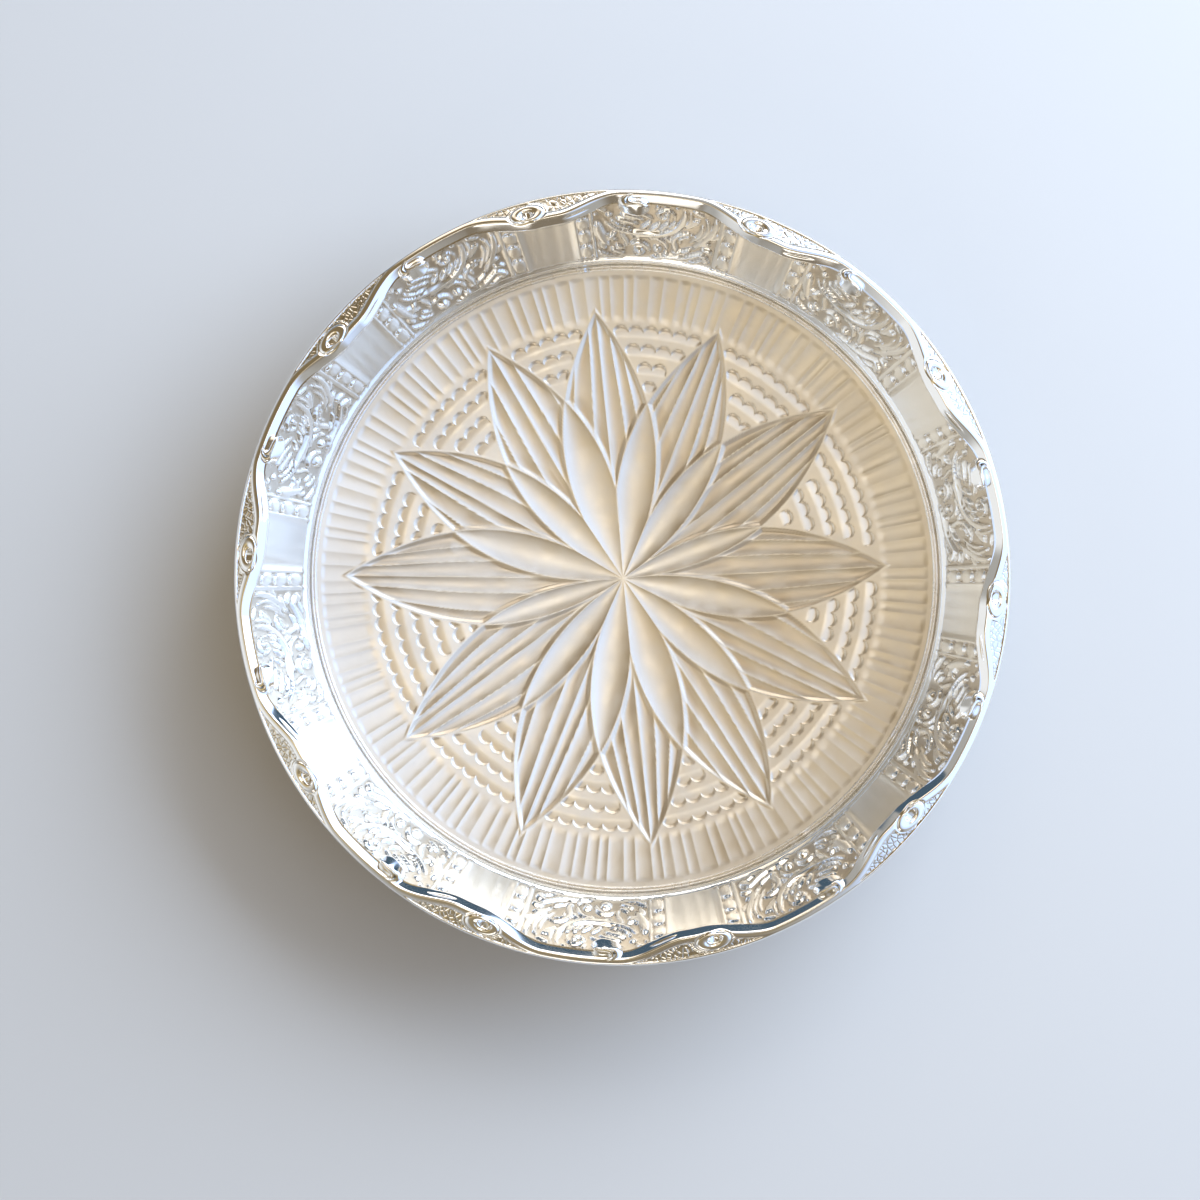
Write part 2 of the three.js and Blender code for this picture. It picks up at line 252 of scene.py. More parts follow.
CAMERA_PLACE = Vector((27.2, -14.7, 855.3)) * MM
CAMERA_TARGET = Vector((-6.6, -7.6, 39.2)) * MM
CAMERA_LENS = 75


def aim(thing, place, target, up):
    forward = (target - place).normalized()
    right = forward.cross(up).normalized()
    turn = Matrix((right, right.cross(forward), -forward)).transposed()
    thing.matrix_world = Matrix.Translation(place) @ turn.to_4x4()


def make_camera():
    data = bpy.data.cameras.new("camera")
    data.lens = CAMERA_LENS
    data.sensor_width = 36
    data.clip_start = 0.01
    data.clip_end = 20
    camera = add_object("camera", data)
    aim(camera, CAMERA_PLACE, CAMERA_TARGET, Vector((0, 1, 0)))
    bpy.context.scene.camera = camera


# Materials: noises as (scale, detail), depths of bump in metres

CLOUD_NOISE = (28, 5)
CLOUD_RANGE = (0.42, 0.72)
WEAR_NOISE = (160, 3)
WEAR_RANGE = (0.3, 0.7)
GRAIN_DETAIL = 2
GRAIN_DEPTH = 0.2 * MM
PEBBLE_SCALE = 620
PEBBLE_CRACK = 0.22
PEBBLE_STAIN = 0.6
PEBBLE_DEPTH = 0.35 * MM


def node_in(tree, kind, inputs=None, **settings):
    """A shader node with its settings and the values of inputs that nothing is linked to."""
    node = tree.nodes.new(kind)
    for key, value in settings.items():
        setattr(node, key, value)
    for key, value in (inputs or {}).items():
        node.inputs[key].default_value = value
    return node


def noise(tree, place, scale, detail):
    texture = node_in(tree, "ShaderNodeTexNoise", {"Scale": scale, "Detail": detail})
    tree.links.new(place, texture.inputs["Vector"])
    return texture.outputs["Fac"]


def remap(tree, value, low, high, to_low=0, to_high=1, **settings):
    """A value carried from the range low to high over to the range to_low to to_high."""
    ends = {"From Min": low, "From Max": high, "To Min": to_low, "To Max": to_high}
    node = node_in(tree, "ShaderNodeMapRange", ends, **settings)
    tree.links.new(value, node.inputs["Value"])
    return node.outputs["Result"]


def multiply_add(tree, value, factor, addend, **settings):
    node = node_in(tree, "ShaderNodeMath", {1: factor}, operation="MULTIPLY_ADD", **settings)
    tree.links.new(value, node.inputs[0])
    tree.links.new(addend, node.inputs[2])
    return node.outputs["Value"]


def bump(tree, height, strength, depth, **settings):
    inputs = {"Strength": strength, "Distance": depth}
    node = node_in(tree, "ShaderNodeBump", inputs, **settings)
    tree.links.new(height, node.inputs["Height"])
    return node


def pebble_cracks(tree, place):
    """The cracks between pebbles, where the mesh's stipple attribute says there are any."""
    mask = node_in(tree, "ShaderNodeAttribute", attribute_name="stipple")
    pebbles = node_in(tree, "ShaderNodeTexVoronoi", {"Scale": PEBBLE_SCALE},
                      feature="DISTANCE_TO_EDGE")
    tree.links.new(place, pebbles.inputs["Vector"])
    crack = remap(tree, pebbles.outputs["Distance"], 0, PEBBLE_CRACK, 1, 0,
                  interpolation_type="SMOOTHSTEP")
    sunk = node_in(tree, "ShaderNodeMath", operation="MULTIPLY")
    tree.links.new(mask.outputs["Fac"], sunk.inputs[0])
    tree.links.new(crack, sunk.inputs[1])
    return sunk.outputs["Value"]


def silver(name, clean, tarnish_and_shade_colour, roughness, grain=0.05, grain_scale=900, shade_and_tarnish_share=0.7,
           cloud_share=0.25, roughness_swing=0.06, stipple=0.0):
    """Silver plate: clean metal with a fine worked grain, darkened in clouds of tarnish and as the
    mesh's attribute says, which holds tarnish and painted shade.
    """
    material = bpy.data.materials.new(name)
    material.use_nodes = True
    tree = material.node_tree
    link = tree.links.new
    shader = tree.nodes["Principled BSDF"]
    shader.inputs["Metallic"].default_value = 1
    place = node_in(tree, "ShaderNodeTexCoord").outputs["Object"]
    fine = noise(tree, place, grain_scale, GRAIN_DETAIL)
    relief = bump(tree, fine, grain, GRAIN_DEPTH)

    clouds = noise(tree, place, *CLOUD_NOISE)
    stain = remap(tree, clouds, *CLOUD_RANGE, 0, cloud_share)
    if stipple:
        cracks = pebble_cracks(tree, place)
        stain = multiply_add(tree, cracks, PEBBLE_STAIN, stain)
        pebbled = bump(tree, cracks, stipple, PEBBLE_DEPTH, invert=True)
        link(relief.outputs["Normal"], pebbled.inputs["Normal"])
        relief = pebbled
    link(relief.outputs["Normal"], shader.inputs["Normal"])

    # The mesh's attribute: tarnish and painted shade that each piece lays in
    cavity = node_in(tree, "ShaderNodeAttribute", attribute_name="cavity")
    tarnish_stain_and_shade = multiply_add(tree, cavity.outputs["Fac"], shade_and_tarnish_share, stain, use_clamp=True)
    ends = {"A": (*clean, 1), "B": (*tarnish_and_shade_colour, 1)}
    colour = node_in(tree, "ShaderNodeMix", ends, data_type="RGBA")
    link(tarnish_stain_and_shade, colour.inputs["Factor"])
    link(colour.outputs["Result"], shader.inputs["Base Color"])

    wear = noise(tree, place, *WEAR_NOISE)
    rough = remap(tree, wear, *WEAR_RANGE, roughness - roughness_swing,
                  roughness + roughness_swing)
    link(rough, shader.inputs["Roughness"])
    return material


# Floor plate: twelve overlapping petals, punched scallops between them and a fluted margin

PETALS = [
    (96, 91.0), (68.8, 89.5), (38.6, 91.3), (2.8, 88.9), (-26.7, 90.9), (-57.2, 91.8),
    (-84, 90.6), (-111.9, 92.8), (-143.6, 91.9), (179.4, 94.6), (151.2, 89.2), (120.4, 90.6),
]
PETAL_SPREAD = 0.68
PETAL_EDGE = 1.9
PETAL_SINK = 0.2
PETAL_LIFT = 0.7
PETAL_LIFT_END = 6
OUTLINE_HEIGHT = 0.022
OUTLINE_WIDTH = 0.4
OUTLINE_START = 12
LENS_SLOPE = 0.066
LENS_DEEPEST = 0.75
LENS_ROUND = 2.05
RIB_WIDTH = 5.4
RIB_DEPTH = 0.36
SCALLOP_OUTSIDE = 86
SCALLOP_ROW_STEP = 6.2
SCALLOP_ROWS = 6
SCALLOP_WIDTH = 5.2
SCALLOP_RADIUS = 2.75
SCALLOP_SLOPE = 1.0
SCALLOP_TAIL = 4.6
SCALLOP_FULL = 0.4
SCALLOP_DEPTH = 0.55
SCALLOP_ENDS = 0.35
SCALLOP_BAND = 6
SCALLOP_STRETCH = 0.03
SCALLOP_MARGIN = 1.2
USUAL_REACH = 91
GROUND_CLEAR = (0.2, 1.2)
FLUTES = 140
FLUTE_START = 86.5
FLUTE_END = 103.2
FLUTE_RUN_IN = 3
FLUTE_RUN_OUT = 1.6
FLUTE_DEPTH = 0.16

# How the flutes' spacing drifts: share of a flute, waves round the bowl and phase
FLUTE_DRIFT = ((0.14, 23, 1), (0.1, 61, 0))

# The tilt of the floor's shading per millimetre from the middle, like a slight dish
FLOOR_DISH = 0.0018

# Tarnish and painted shade in the pressing's hollows, and painted shade on its steep sides:
# the depths and slopes where it starts and is full
HOLLOW_TARNISH_AND_SHADE_DEPTHS = (0.15, 0.8)
STEEP_PAINTED_SHADE_SLOPES = (0.15, 0.4)
STEEP_PAINTED_SHADE_SHARE = 0.8
LENS_TARNISH_AND_SHADE_SHARE = 0.25

# Rings of the floor's mesh: each band's end, and from, to and count along the fluted margin
STATIONS_PER_FLUTE = 11
RING_STEP = 0.5
MIDDLE_REACH = 64
TIPS_REACH = 87.5
TIPS_RINGS = 48
MARGIN_RINGS = ((TIPS_REACH, 95, 17), (95, 102, 9), (102, 104.4, 8), (104.4, PLATE_RADIUS, 3))

rng = np.random.RandomState(12)
RIDGE_SHIFTS = rng.uniform(-0.16, 0.16, (len(PETALS), 7))
RIB_CONVERGE = rng.uniform(0.15, 0.45, len(PETALS))
SCALLOP_SHIFTS = rng.uniform(-0.25, 0.25, (len(PETALS), SCALLOP_ROWS))


def petal_frame(x, y, tip_deg):
    """Places along and across a petal's axis."""
    tip = math.radians(tip_deg)
    return x * math.cos(tip) + y * math.sin(tip), y * math.cos(tip) - x * math.sin(tip)


def petal_margin(x, y, tip_deg, reach):
    """How far a point lies inside a petal's outline; negative outside."""
    along, across = petal_frame(x, y, tip_deg)
    margin = PETAL_SPREAD * along * (1 - along / reach) - np.abs(across)
    return np.where(along > 0, margin, -99)


def rib_depth(x, y, petal):
    """The ribs along one petal: 0 on the ridges between them and 1 in their middles."""
    tip_deg, reach = PETALS[petal]
    along, across = petal_frame(x, y, tip_deg)
    width = RIB_WIDTH * (1 - RIB_CONVERGE[petal] * smoothstep(0.5, 1.0, along / reach))
    place = np.interp(across / width, np.arange(-3, 4) + RIDGE_SHIFTS[petal], np.arange(-3, 4))
    share = place - np.floor(place)
    return 4 * share * (1 - share)


def scallop_row(away, radius, half_gap, row, shift):
    """One row of gouges in a gap between petals, steep along their arcs and fading inward."""
    outside = SCALLOP_OUTSIDE - SCALLOP_ROW_STEP * row
    petal_half = math.degrees(math.atan(PETAL_SPREAD * (1 - outside / USUAL_REACH)))
    room = 2 * math.radians(half_gap - petal_half) * outside - SCALLOP_MARGIN
    count = int(room / SCALLOP_WIDTH)
    if count < 1:
        return np.zeros_like(radius)
    is_even = 1 - count % 2
    step_deg = math.degrees(SCALLOP_WIDTH / outside) * (1 + SCALLOP_STRETCH * (row % 2))
    place = away / step_deg - shift + is_even / 2
    index = np.round(place)
    low = is_even - count // 2
    high = count // 2
    across = (place - index) * SCALLOP_WIDTH
    arc = outside - SCALLOP_RADIUS + np.sqrt(np.maximum(SCALLOP_RADIUS ** 2 - across ** 2, 0))
    step = smoothstep(0, SCALLOP_SLOPE, arc - radius)
    fade = smoothstep(SCALLOP_TAIL, SCALLOP_FULL, outside - radius)
    ends = smoothstep(0, SCALLOP_ENDS, (place - low + 0.5) * SCALLOP_WIDTH)
    ends *= smoothstep(0, SCALLOP_ENDS, (high + 0.5 - place) * SCALLOP_WIDTH)
    in_row = (index >= low) & (index <= high) & (np.abs(radius - outside) < SCALLOP_BAND)
    return SCALLOP_DEPTH * step * fade * ends * in_row


def scallops(x, y):
    """Rows of gouges in every gap between two petals."""
    radius = np.hypot(x, y)
    angle = np.degrees(np.arctan2(y, x))
    depth = np.zeros_like(radius)
    tips = np.sort([tip % 360 for tip, _ in PETALS])
    for gap, (tip, following) in enumerate(zip(tips, np.roll(tips, -1))):
        half_gap = ((following - tip) % 360) / 2
        away = (angle - tip - half_gap + 180) % 360 - 180
        for row in range(SCALLOP_ROWS):
            gouges = scallop_row(away, radius, half_gap, row, SCALLOP_SHIFTS[gap, row])
            depth = np.maximum(depth, gouges)
    return depth


def flutes(x, y):
    """Concave flutes round the margin, each ending square just inside the bead."""
    radius = np.hypot(x, y)
    angle = np.arctan2(y, x)
    place = angle / (2 * math.pi) * FLUTES
    place += sum(drift * np.sin(angle * waves + phase) for drift, waves, phase in FLUTE_DRIFT)
    share = place - np.floor(place)
    along = smoothstep(FLUTE_START, FLUTE_START + FLUTE_RUN_IN, radius)
    along *= smoothstep(0, FLUTE_RUN_OUT, FLUTE_END - radius)
    return FLUTE_DEPTH * 4 * share * (1 - share) * along


def floor_depth(x, y, lens_share=1):
    """How deep the pressing lies below the plate's level, in millimetres."""
    margins = np.stack([petal_margin(x, y, tip, reach) for tip, reach in PETALS])
    petal = margins.argmax(0)
    first = margins.max(0)
    np.put_along_axis(margins, petal[None], -99, 0)
    second = margins.max(0)

    width = np.maximum(first + second, 1e-6)
    share = np.clip(second / width, 0, 1)
    lens = np.minimum(LENS_SLOPE * width, LENS_DEEPEST)
    lens *= 1 - np.abs(2 * share - 1) ** LENS_ROUND

    ribs = np.zeros_like(first)
    for index in range(len(PETALS)):
        mine = (petal == index) & (first > 0) & (second <= 0)
        ribs[mine] = rib_depth(x[mine], y[mine], index)
    inside = np.minimum(first, -second)
    sink = PETAL_SINK * (1 - PETAL_LIFT * smoothstep(PETAL_EDGE, PETAL_LIFT_END, inside))
    petal_depth = smoothstep(0, PETAL_EDGE, inside) * (sink + RIB_DEPTH * ribs)

    ground = smoothstep(*GROUND_CLEAR, -first) * np.maximum(scallops(x, y), flutes(x, y))
    depth = np.where(first <= 0, ground, np.where(second > 0, lens_share * lens, petal_depth))
    nearest = np.where(first <= 0, -first, np.minimum(first, np.abs(second)))
    outline = OUTLINE_HEIGHT * bell(nearest, 0, OUTLINE_WIDTH)
    return depth - outline * (np.hypot(x, y) > OUTLINE_START)


def floor_normals(x, y, step=0.18):
    """Upright normals from the slope of the relief and the dish, in steps of millimetres."""
    rise_x = floor_depth(x + step, y) - floor_depth(x - step, y)
    rise_y = floor_depth(x, y + step) - floor_depth(x, y - step)
    slope_x = rise_x / (2 * step) - FLOOR_DISH * x
    slope_y = rise_y / (2 * step) - FLOOR_DISH * y
    normals = np.stack([slope_x, slope_y, np.ones_like(slope_x)], -1)
    return normals / np.linalg.norm(normals, axis=1)[:, None]


def polar_band(inner_start, inner_count, outer_start, outer_count):
    """Faces between two rings of points, the outer with as many or twice as many."""
    i = np.arange(inner_count)
    here = inner_start + i
    on = inner_start + (i + 1) % inner_count
    if outer_count == inner_count:
        there = outer_start + i
        beyond = outer_start + (i + 1) % outer_count
        return [np.stack([here, there, beyond, on], -1)]
    a = outer_start + 2 * i
    b = a + 1
    c = outer_start + (2 * i + 2) % outer_count
    return [np.concatenate([np.stack(t, -1) for t in ((here, a, b), (here, b, on), (on, b, c))])]


def plate_top(rings):
    """Points and faces of rings of (radius, count), and where the first and last ring start."""
    points, faces = [], []
    start = 0
    if rings[0][0] == 0:
        count = rings[1][1]
        i = np.arange(count)
        points.append(np.zeros((1, 2)))
        faces.append(np.stack([0 * i, 1 + i, 1 + (i + 1) % count], -1))
        rings = rings[1:]
        start = 1
    first = start
    for index, (radius, count) in enumerate(rings):
        angle = np.arange(count) / count * 2 * math.pi
        points.append(np.stack([radius * np.cos(angle), radius * np.sin(angle)], -1))
        if index + 1 < len(rings):
            faces += polar_band(start, count, start + count, rings[index + 1][1])
            start += count
    return np.concatenate(points), faces, first, start


def plate_underside(top, count, first, outer):
    """Points and faces of the edge and the flat underside, numbered on from the top's."""
    i = np.arange(count)
    on = (i + 1) % count
    edge = len(top)
    inner = edge + count
    faces = [np.stack([outer + i, edge + i, edge + on, outer + on], -1)]
    if first == 1:
        inside = top[:1]
        faces.append(np.stack([0 * i + inner, edge + on, edge + i], -1))
    else:
        inside = top[:count]
        faces.append(np.stack([on, inner + on, inner + i, i], -1))
        faces.append(np.stack([inner + i, inner + on, edge + on, edge + i], -1))
    under = np.vstack([top[outer:], inside])
    return np.column_stack([under, np.full(len(under), PLATE_UNDER)]), faces


def floor_tarnish_and_shade(top, normals):
    """Tarnish and painted shade in the hollows, and painted shade on the steep sides of the
    pressing.
    """
    slope = np.linalg.norm(normals[:, :2] / normals[:, 2:] + FLOOR_DISH * top, axis=1)
    deep = smoothstep(*HOLLOW_TARNISH_AND_SHADE_DEPTHS, floor_depth(top[:, 0], top[:, 1], LENS_TARNISH_AND_SHADE_SHARE))
    return np.maximum(deep, STEEP_PAINTED_SHADE_SHARE * smoothstep(*STEEP_PAINTED_SHADE_SLOPES, slope))


def plate_piece(name, rings, material):
    """A closed part of the floor plate from rings of (radius, count); radius 0 is a centre."""
    top, faces, first, outer = plate_top(rings)
    under, under_faces = plate_underside(top, rings[-1][1], first, outer)
    x, y = top.T
    normals = floor_normals(x, y)
    # Tarnish and painted shade on the pressing's top, none on its edge and underside
    cavity = np.concatenate([floor_tarnish_and_shade(top, normals), np.zeros(len(under))])
    vertices = np.vstack([np.column_stack([top, PLATE_TOP - floor_depth(x, y)]), under])
    normals = np.vstack([normals, np.tile([0, 0, -1.0], (len(under), 1))])
    by_size = [[face for face in faces + under_faces if face.shape[1] == size] for size in (3, 4)]
    mesh_piece(name, vertices, [np.concatenate(group) for group in by_size if group],
               "floor_plate", "floor_silver", material, {"cavity": cavity}, normals)


def make_floor_plate():
    material = silver("satin_silver", (0.95, 0.89, 0.785), (0.6, 0.47, 0.31), 0.38,
                      grain=0.1, grain_scale=500)
    fine = FLUTES * STATIONS_PER_FLUTE
    halfway = MIDDLE_REACH / 2
    middle = [(0, 1)] + [(r, fine // 4) for r in np.arange(RING_STEP, halfway, RING_STEP)]
    middle += [(r, fine // 2) for r in np.arange(halfway, MIDDLE_REACH + RING_STEP, RING_STEP)]
    tips = [(r, fine) for r in np.linspace(MIDDLE_REACH, TIPS_REACH, TIPS_RINGS)]
    margin = [(r, fine) for r in [*spans(*MARGIN_RINGS), PLATE_RADIUS]]
    plate_piece("flower_middle", middle, material)
    plate_piece("flower_tips", tips, material)
    plate_piece("fluted_margin", margin, material)


# Shape shared by the wall and the border, as shares of one repeat

SOLDER_GAP = 0.3
WALL_FOOT = BEAD_OUTSIDE + SOLDER_GAP
WALL_THICKNESS = 1.5
WALL_BULGE = 1.1
BORDER_NARROW = 4.9
BORDER_WIDE = 10.3
PANEL_DRAW = 2.6
LIP_COVER = 0.5
WAVE_RISE = (-0.335, -0.03)
WAVE_FALL = (0.065, 0.345)


def wave(share):
    """How far the border has widened at a share of the repeat: 1 at the plain panels."""
    turns = share - np.round(share)
    return smoothstep(*WAVE_RISE, turns) * (1 - smoothstep(*WAVE_FALL, turns))


def wall_radius(share, rise):
    top = RIM_RADIUS - BORDER_NARROW + LIP_COVER - PANEL_DRAW * wave(share)
    return lerp(WALL_FOOT, top, rise) + 4 * WALL_BULGE * rise * (1 - rise)


# Panelled wall

PLAIN_HALF_DEG = 4.6
BEVEL_DEG = 2.4
STRIP_END_DEG = 7.5
CARVED_START_DEG = 7.6
CARVED_END_DEG = REPEAT_DEG - CARVED_START_DEG
FILLET_PROUD = 0.6
PLAIN_PROUD = -0.35
CARVED_SINK = 0.5
CARVED_BOLD = 1.3
CARVED_WIDEN = 1.22
MOULDING_SHARE = 0.105
MOULDING_PROUD = 0.7
CARVED_LENGTH = 41.7
CARVED_HEIGHT = 31.0
CARVED_BOTTOM = PLATE_TOP + 3.9
CARVED_RISE = 27.5
COIN_HALF_WIDTH = 2.5
COIN_HALF_LENGTH = 4.8
COIN_STEP = 8.3
COIN_HEIGHT = 1.7
COIN_START = 0.4
COIN_TILT = 0.38
COIN_LEAST = 0.05
STRIP_SINK = 0.15
STRIP_DEG_MM = 2.0
STRIP_MIDDLE_DEG = (PLAIN_HALF_DEG + STRIP_END_DEG) / 2
FILLET_HEIGHT = FILLET_PROUD * 1.1
FILLET_IN_DEG = 0.1
FILLET_HALF_DEG = 0.3
END_FILLET_DEG = CARVED_END_DEG - 0.02
RELIEF_FADE = 0.035
BACK_HOLLOW = 0.35
BACK_HOLLOW_DEG = (6.4, 5.6)
BACK_STEPS = 9

# Tarnish and painted shade in the carving, darker where it lies low, with the warm floor's
# reflection painted in: how proud and how high it is where it starts and is full
CARVED_TARNISH_AND_SHADE_PROUD = (0.7, -0.4)
CARVED_TARNISH_AND_SHADE_RISE = (0.1, 0.16)
BACK_DIRT = 0.1

# Share of what stands proud that goes inward and up, square to the leaning wall
INWARD = (-0.875, 0.485)

# Carved ornament as drawn: points in hundredths of the panel's length and height,
# width and height in millimetres, and where they aren't the usual ones, the ends that taper
# and the depth of a groove along the middle
CARVED_STROKES = [
    ([(9, 66), (11, 57), (18, 46), (28, 40), (40, 37), (52, 38), (61, 45), (67, 55), (70, 67),
      (71.2, 80), (69, 95)], 1.15, 1.5, "both", 0.45),
    ([(14, 66), (17, 56), (24, 49), (33, 46)], 0.75, 1.2),
    ([(56, 42), (64, 50), (74.5, 66), (75.5, 82), (73.5, 93)], 0.6, 1.1),
    ([(78, 18), (84, 30), (90, 45), (94.5, 62), (95.5, 80), (94, 92)], 1.0, 1.4, "both", 0.35),
    ([(80, 32), (86, 45), (90, 60), (89, 75), (85, 83)], 0.7, 1.15),
    ([(76, 28), (82, 42), (85.5, 56), (85, 70)], 0.6, 0.95),
    ([(66, 18), (64, 30), (68, 41), (75, 45.5), (81, 41), (82, 31)], 0.95, 1.35, "end", 0.3),
    ([(70, 24), (69, 32), (73, 38), (77, 35)], 0.6, 0.9),
    ([(0, 14), (9, 2), (22, -4), (36, -3)], 1.0, 1.25, "both", 0.4),
    ([(42, -4), (55, 2), (66, 3), (76, 6), (85, 14), (92, 24)], 0.95, 1.35, "both", 0.3),
    ([(52, -9), (64, -5), (76, -3), (88, 5), (96, 16)], 0.7, 1.0),
    ([(27, 17), (35, 22.5), (42, 17), (45, 6)], 0.9, 1.3, "both", 0.25),
    ([(42, 28), (50, 31), (57, 24), (60, 12)], 0.85, 1.25, "both", 0.25),
    ([(29, 30), (38, 33), (48, 33)], 0.75, 1.05),
    ([(21, 42), (23, 32), (26, 22), (24, 14)], 0.75, 1.15),
    ([(52, 96), (60, 97), (68, 99)], 0.6, 0.8),
    ([(18, 86), (28, 82), (38, 83), (46, 90)], 0.7, 0.9),
    ([(60, 60), (63.5, 70), (61, 82), (55, 84), (50.5, 76), (53, 68),
      (57.5, 70)], 0.7, 1.25, "start"),
]

# Leaves and lobes: drawn thicker towards one end, like a chased acanthus
CARVED_LEAVES = [
    ([(3, 66), (4, 48), (7, 30), (14, 10)], 1.7, 1.35), ([(9, 42), (13, 30), (21, 24)], 1.2, 1.15),
    ([(10, 26), (15, 36), (20, 41)], 1.0, 1.2), ([(5, 28), (6, 18), (10, 10)], 1.1, 1.1),
    ([(37, 45), (42, 53), (46, 64)], 0.95, 1.15), ([(44, 43), (49, 51), (54, 62)], 0.95, 1.2),
    ([(51, 45), (56, 53), (60, 66)], 0.9, 1.2), ([(58, 49), (62, 56), (65.5, 68)], 0.85, 1.15),
    ([(17, 66), (25, 60), (33, 56), (38, 50)], 1.5, 1.2),
    ([(20, 74), (30, 68), (38, 62), (43, 54)], 1.3, 1.15),
    ([(30, 78), (39, 72), (45, 66), (48, 58)], 1.1, 1.0),
    ([(76, 60), (80, 70), (84, 78)], 1.3, 1.15), ([(72, 56), (77, 62), (80, 66)], 1.0, 1.1),
    ([(76, 92), (82, 86), (89, 85)], 1.2, 1.0), ([(80, 97), (86, 94), (92, 95)], 1.0, 0.9),
    ([(84, 30), (91, 36), (97, 36)], 1.2, 1.15), ([(86, 24), (93, 24), (98.5, 18)], 1.2, 1.2),
    ([(84, 16), (91, 12), (98, 3)], 1.3, 1.2), ([(92, 42), (97, 52), (98.5, 64)], 0.9, 0.9),
    ([(56, 36), (60, 30), (61, 22)], 0.9, 1.05), ([(62, 14), (68, 12), (72, 18)], 0.9, 1.1),
    ([(70, 13), (76, 17), (79, 24)], 0.9, 1.1), ([(12, 14), (18, 8), (27, 4)], 1.1, 1.1),
    ([(17, 20), (20, 14), (27, 11)], 0.8, 0.95), ([(10, -7), (20, -11), (32, -10)], 0.9, 0.9),
    ([(72, -2), (80, -4), (88, -9)], 1.1, 1.0), ([(6, 90), (9, 82), (10, 76)], 1.0, 0.9),
    ([(50, 93), (50, 86), (47, 80)], 0.8, 0.85),
]

# Round lobes: centre, radius and height
CARVED_DOMES = [
    ((36, 8), 2.3, 1.45), ((51, 13), 1.9, 1.35), ((58.5, 8), 1.0, 1.0),
    ((13, 73), 1.5, 1.2), ((25, 58), 1.7, 1.2), ((57.5, 75), 1.0, 1.25),
    ((80, 71), 1.6, 1.15), ((75.5, 40), 0.8, 1.0), ((92, 7), 1.6, 1.2),
    ((4.5, 5), 1.2, 1.0), ((41, -8), 1.3, 1.05), ((65, 90), 1.0, 0.9),
    ((30, 88), 1.1, 0.85), ((3, 78), 1.0, 0.85), ((97, 74), 0.8, 0.8),
]

# Cuts that separate the leaves
CARVED_GROOVES = [
    ([(13, 73), (15, 76), (13, 79), (10, 76), (11, 70)], 0.35, 0.45),
    ([(6, 56), (9, 44), (13, 33)], 0.3, 0.35), ([(20, 62), (27, 56), (35, 52)], 0.3, 0.4),
    ([(25, 70), (34, 64), (41, 57)], 0.3, 0.4), ([(86, 29), (92, 30), (98, 27)], 0.3, 0.4),
    ([(86, 20), (92, 18), (97, 11)], 0.3, 0.4), ([(36, 15), (33, 8), (36, 2)], 0.3, 0.3),
    ([(50, 19), (47, 12), (50, 5)], 0.3, 0.3), ([(78, 66), (81, 74), (80, 80)], 0.3, 0.35),
]


def to_panel(points):
    return [(u / 100 * CARVED_LENGTH, v / 100 * CARVED_HEIGHT) for u, v in points]


def carved_relief(x, y):
    """The carved panel's scrolls and leaves over its sunk ground."""
    waves = np.sin(x * 0.9 + 2 * np.sin(y * 0.35)) * np.sin(y * 0.8 + 1)
    field = 0.12 * waves + 0.1
    for points, width, height in CARVED_LEAVES:
        add_stroke(field, x, y, to_panel(points), CARVED_WIDEN * width, height, "leaf")
    for centre, radius, height in CARVED_DOMES:
        add_dome(field, x, y, to_panel([centre])[0], radius, height)
    for points, width, depth in CARVED_GROOVES:
        cut_groove(field, x, y, to_panel(points), width, depth)
    for points, width, height, *ends in CARVED_STROKES:
        add_stroke(field, x, y, to_panel(points), CARVED_WIDEN * width, height, *ends)
    return CARVED_BOLD * field - CARVED_SINK


def coin_strip(across, y):
    """A column of overlapping discs, each tilted so that it dips under the next."""
    place = y / COIN_STEP
    strip = np.zeros_like(across)
    for offset in (1, 0):
        index = np.floor(place) + offset
        along = (place - index - COIN_START) * COIN_STEP / COIN_HALF_LENGTH
        distance = np.hypot(across / COIN_HALF_WIDTH, along)
        tilt = 1 - COIN_TILT + COIN_TILT * along
        disc = COIN_HEIGHT * tilt * np.sqrt(np.clip(1 - distance ** 3, 0, 1))
        strip = np.where(distance < 1, np.maximum(disc, COIN_LEAST), strip)
    return strip - STRIP_SINK


def fillets(clock):
    """The raised lines on both sides of every bead strip."""
    away = np.abs(clock)
    inner = hump(away, PLAIN_HALF_DEG + FILLET_IN_DEG, FILLET_HALF_DEG)
    outer = hump(away, STRIP_END_DEG - FILLET_IN_DEG, FILLET_HALF_DEG)
    following = hump(clock, END_FILLET_DEG, FILLET_HALF_DEG)
    return FILLET_HEIGHT * np.maximum(np.maximum(inner, outer), following)


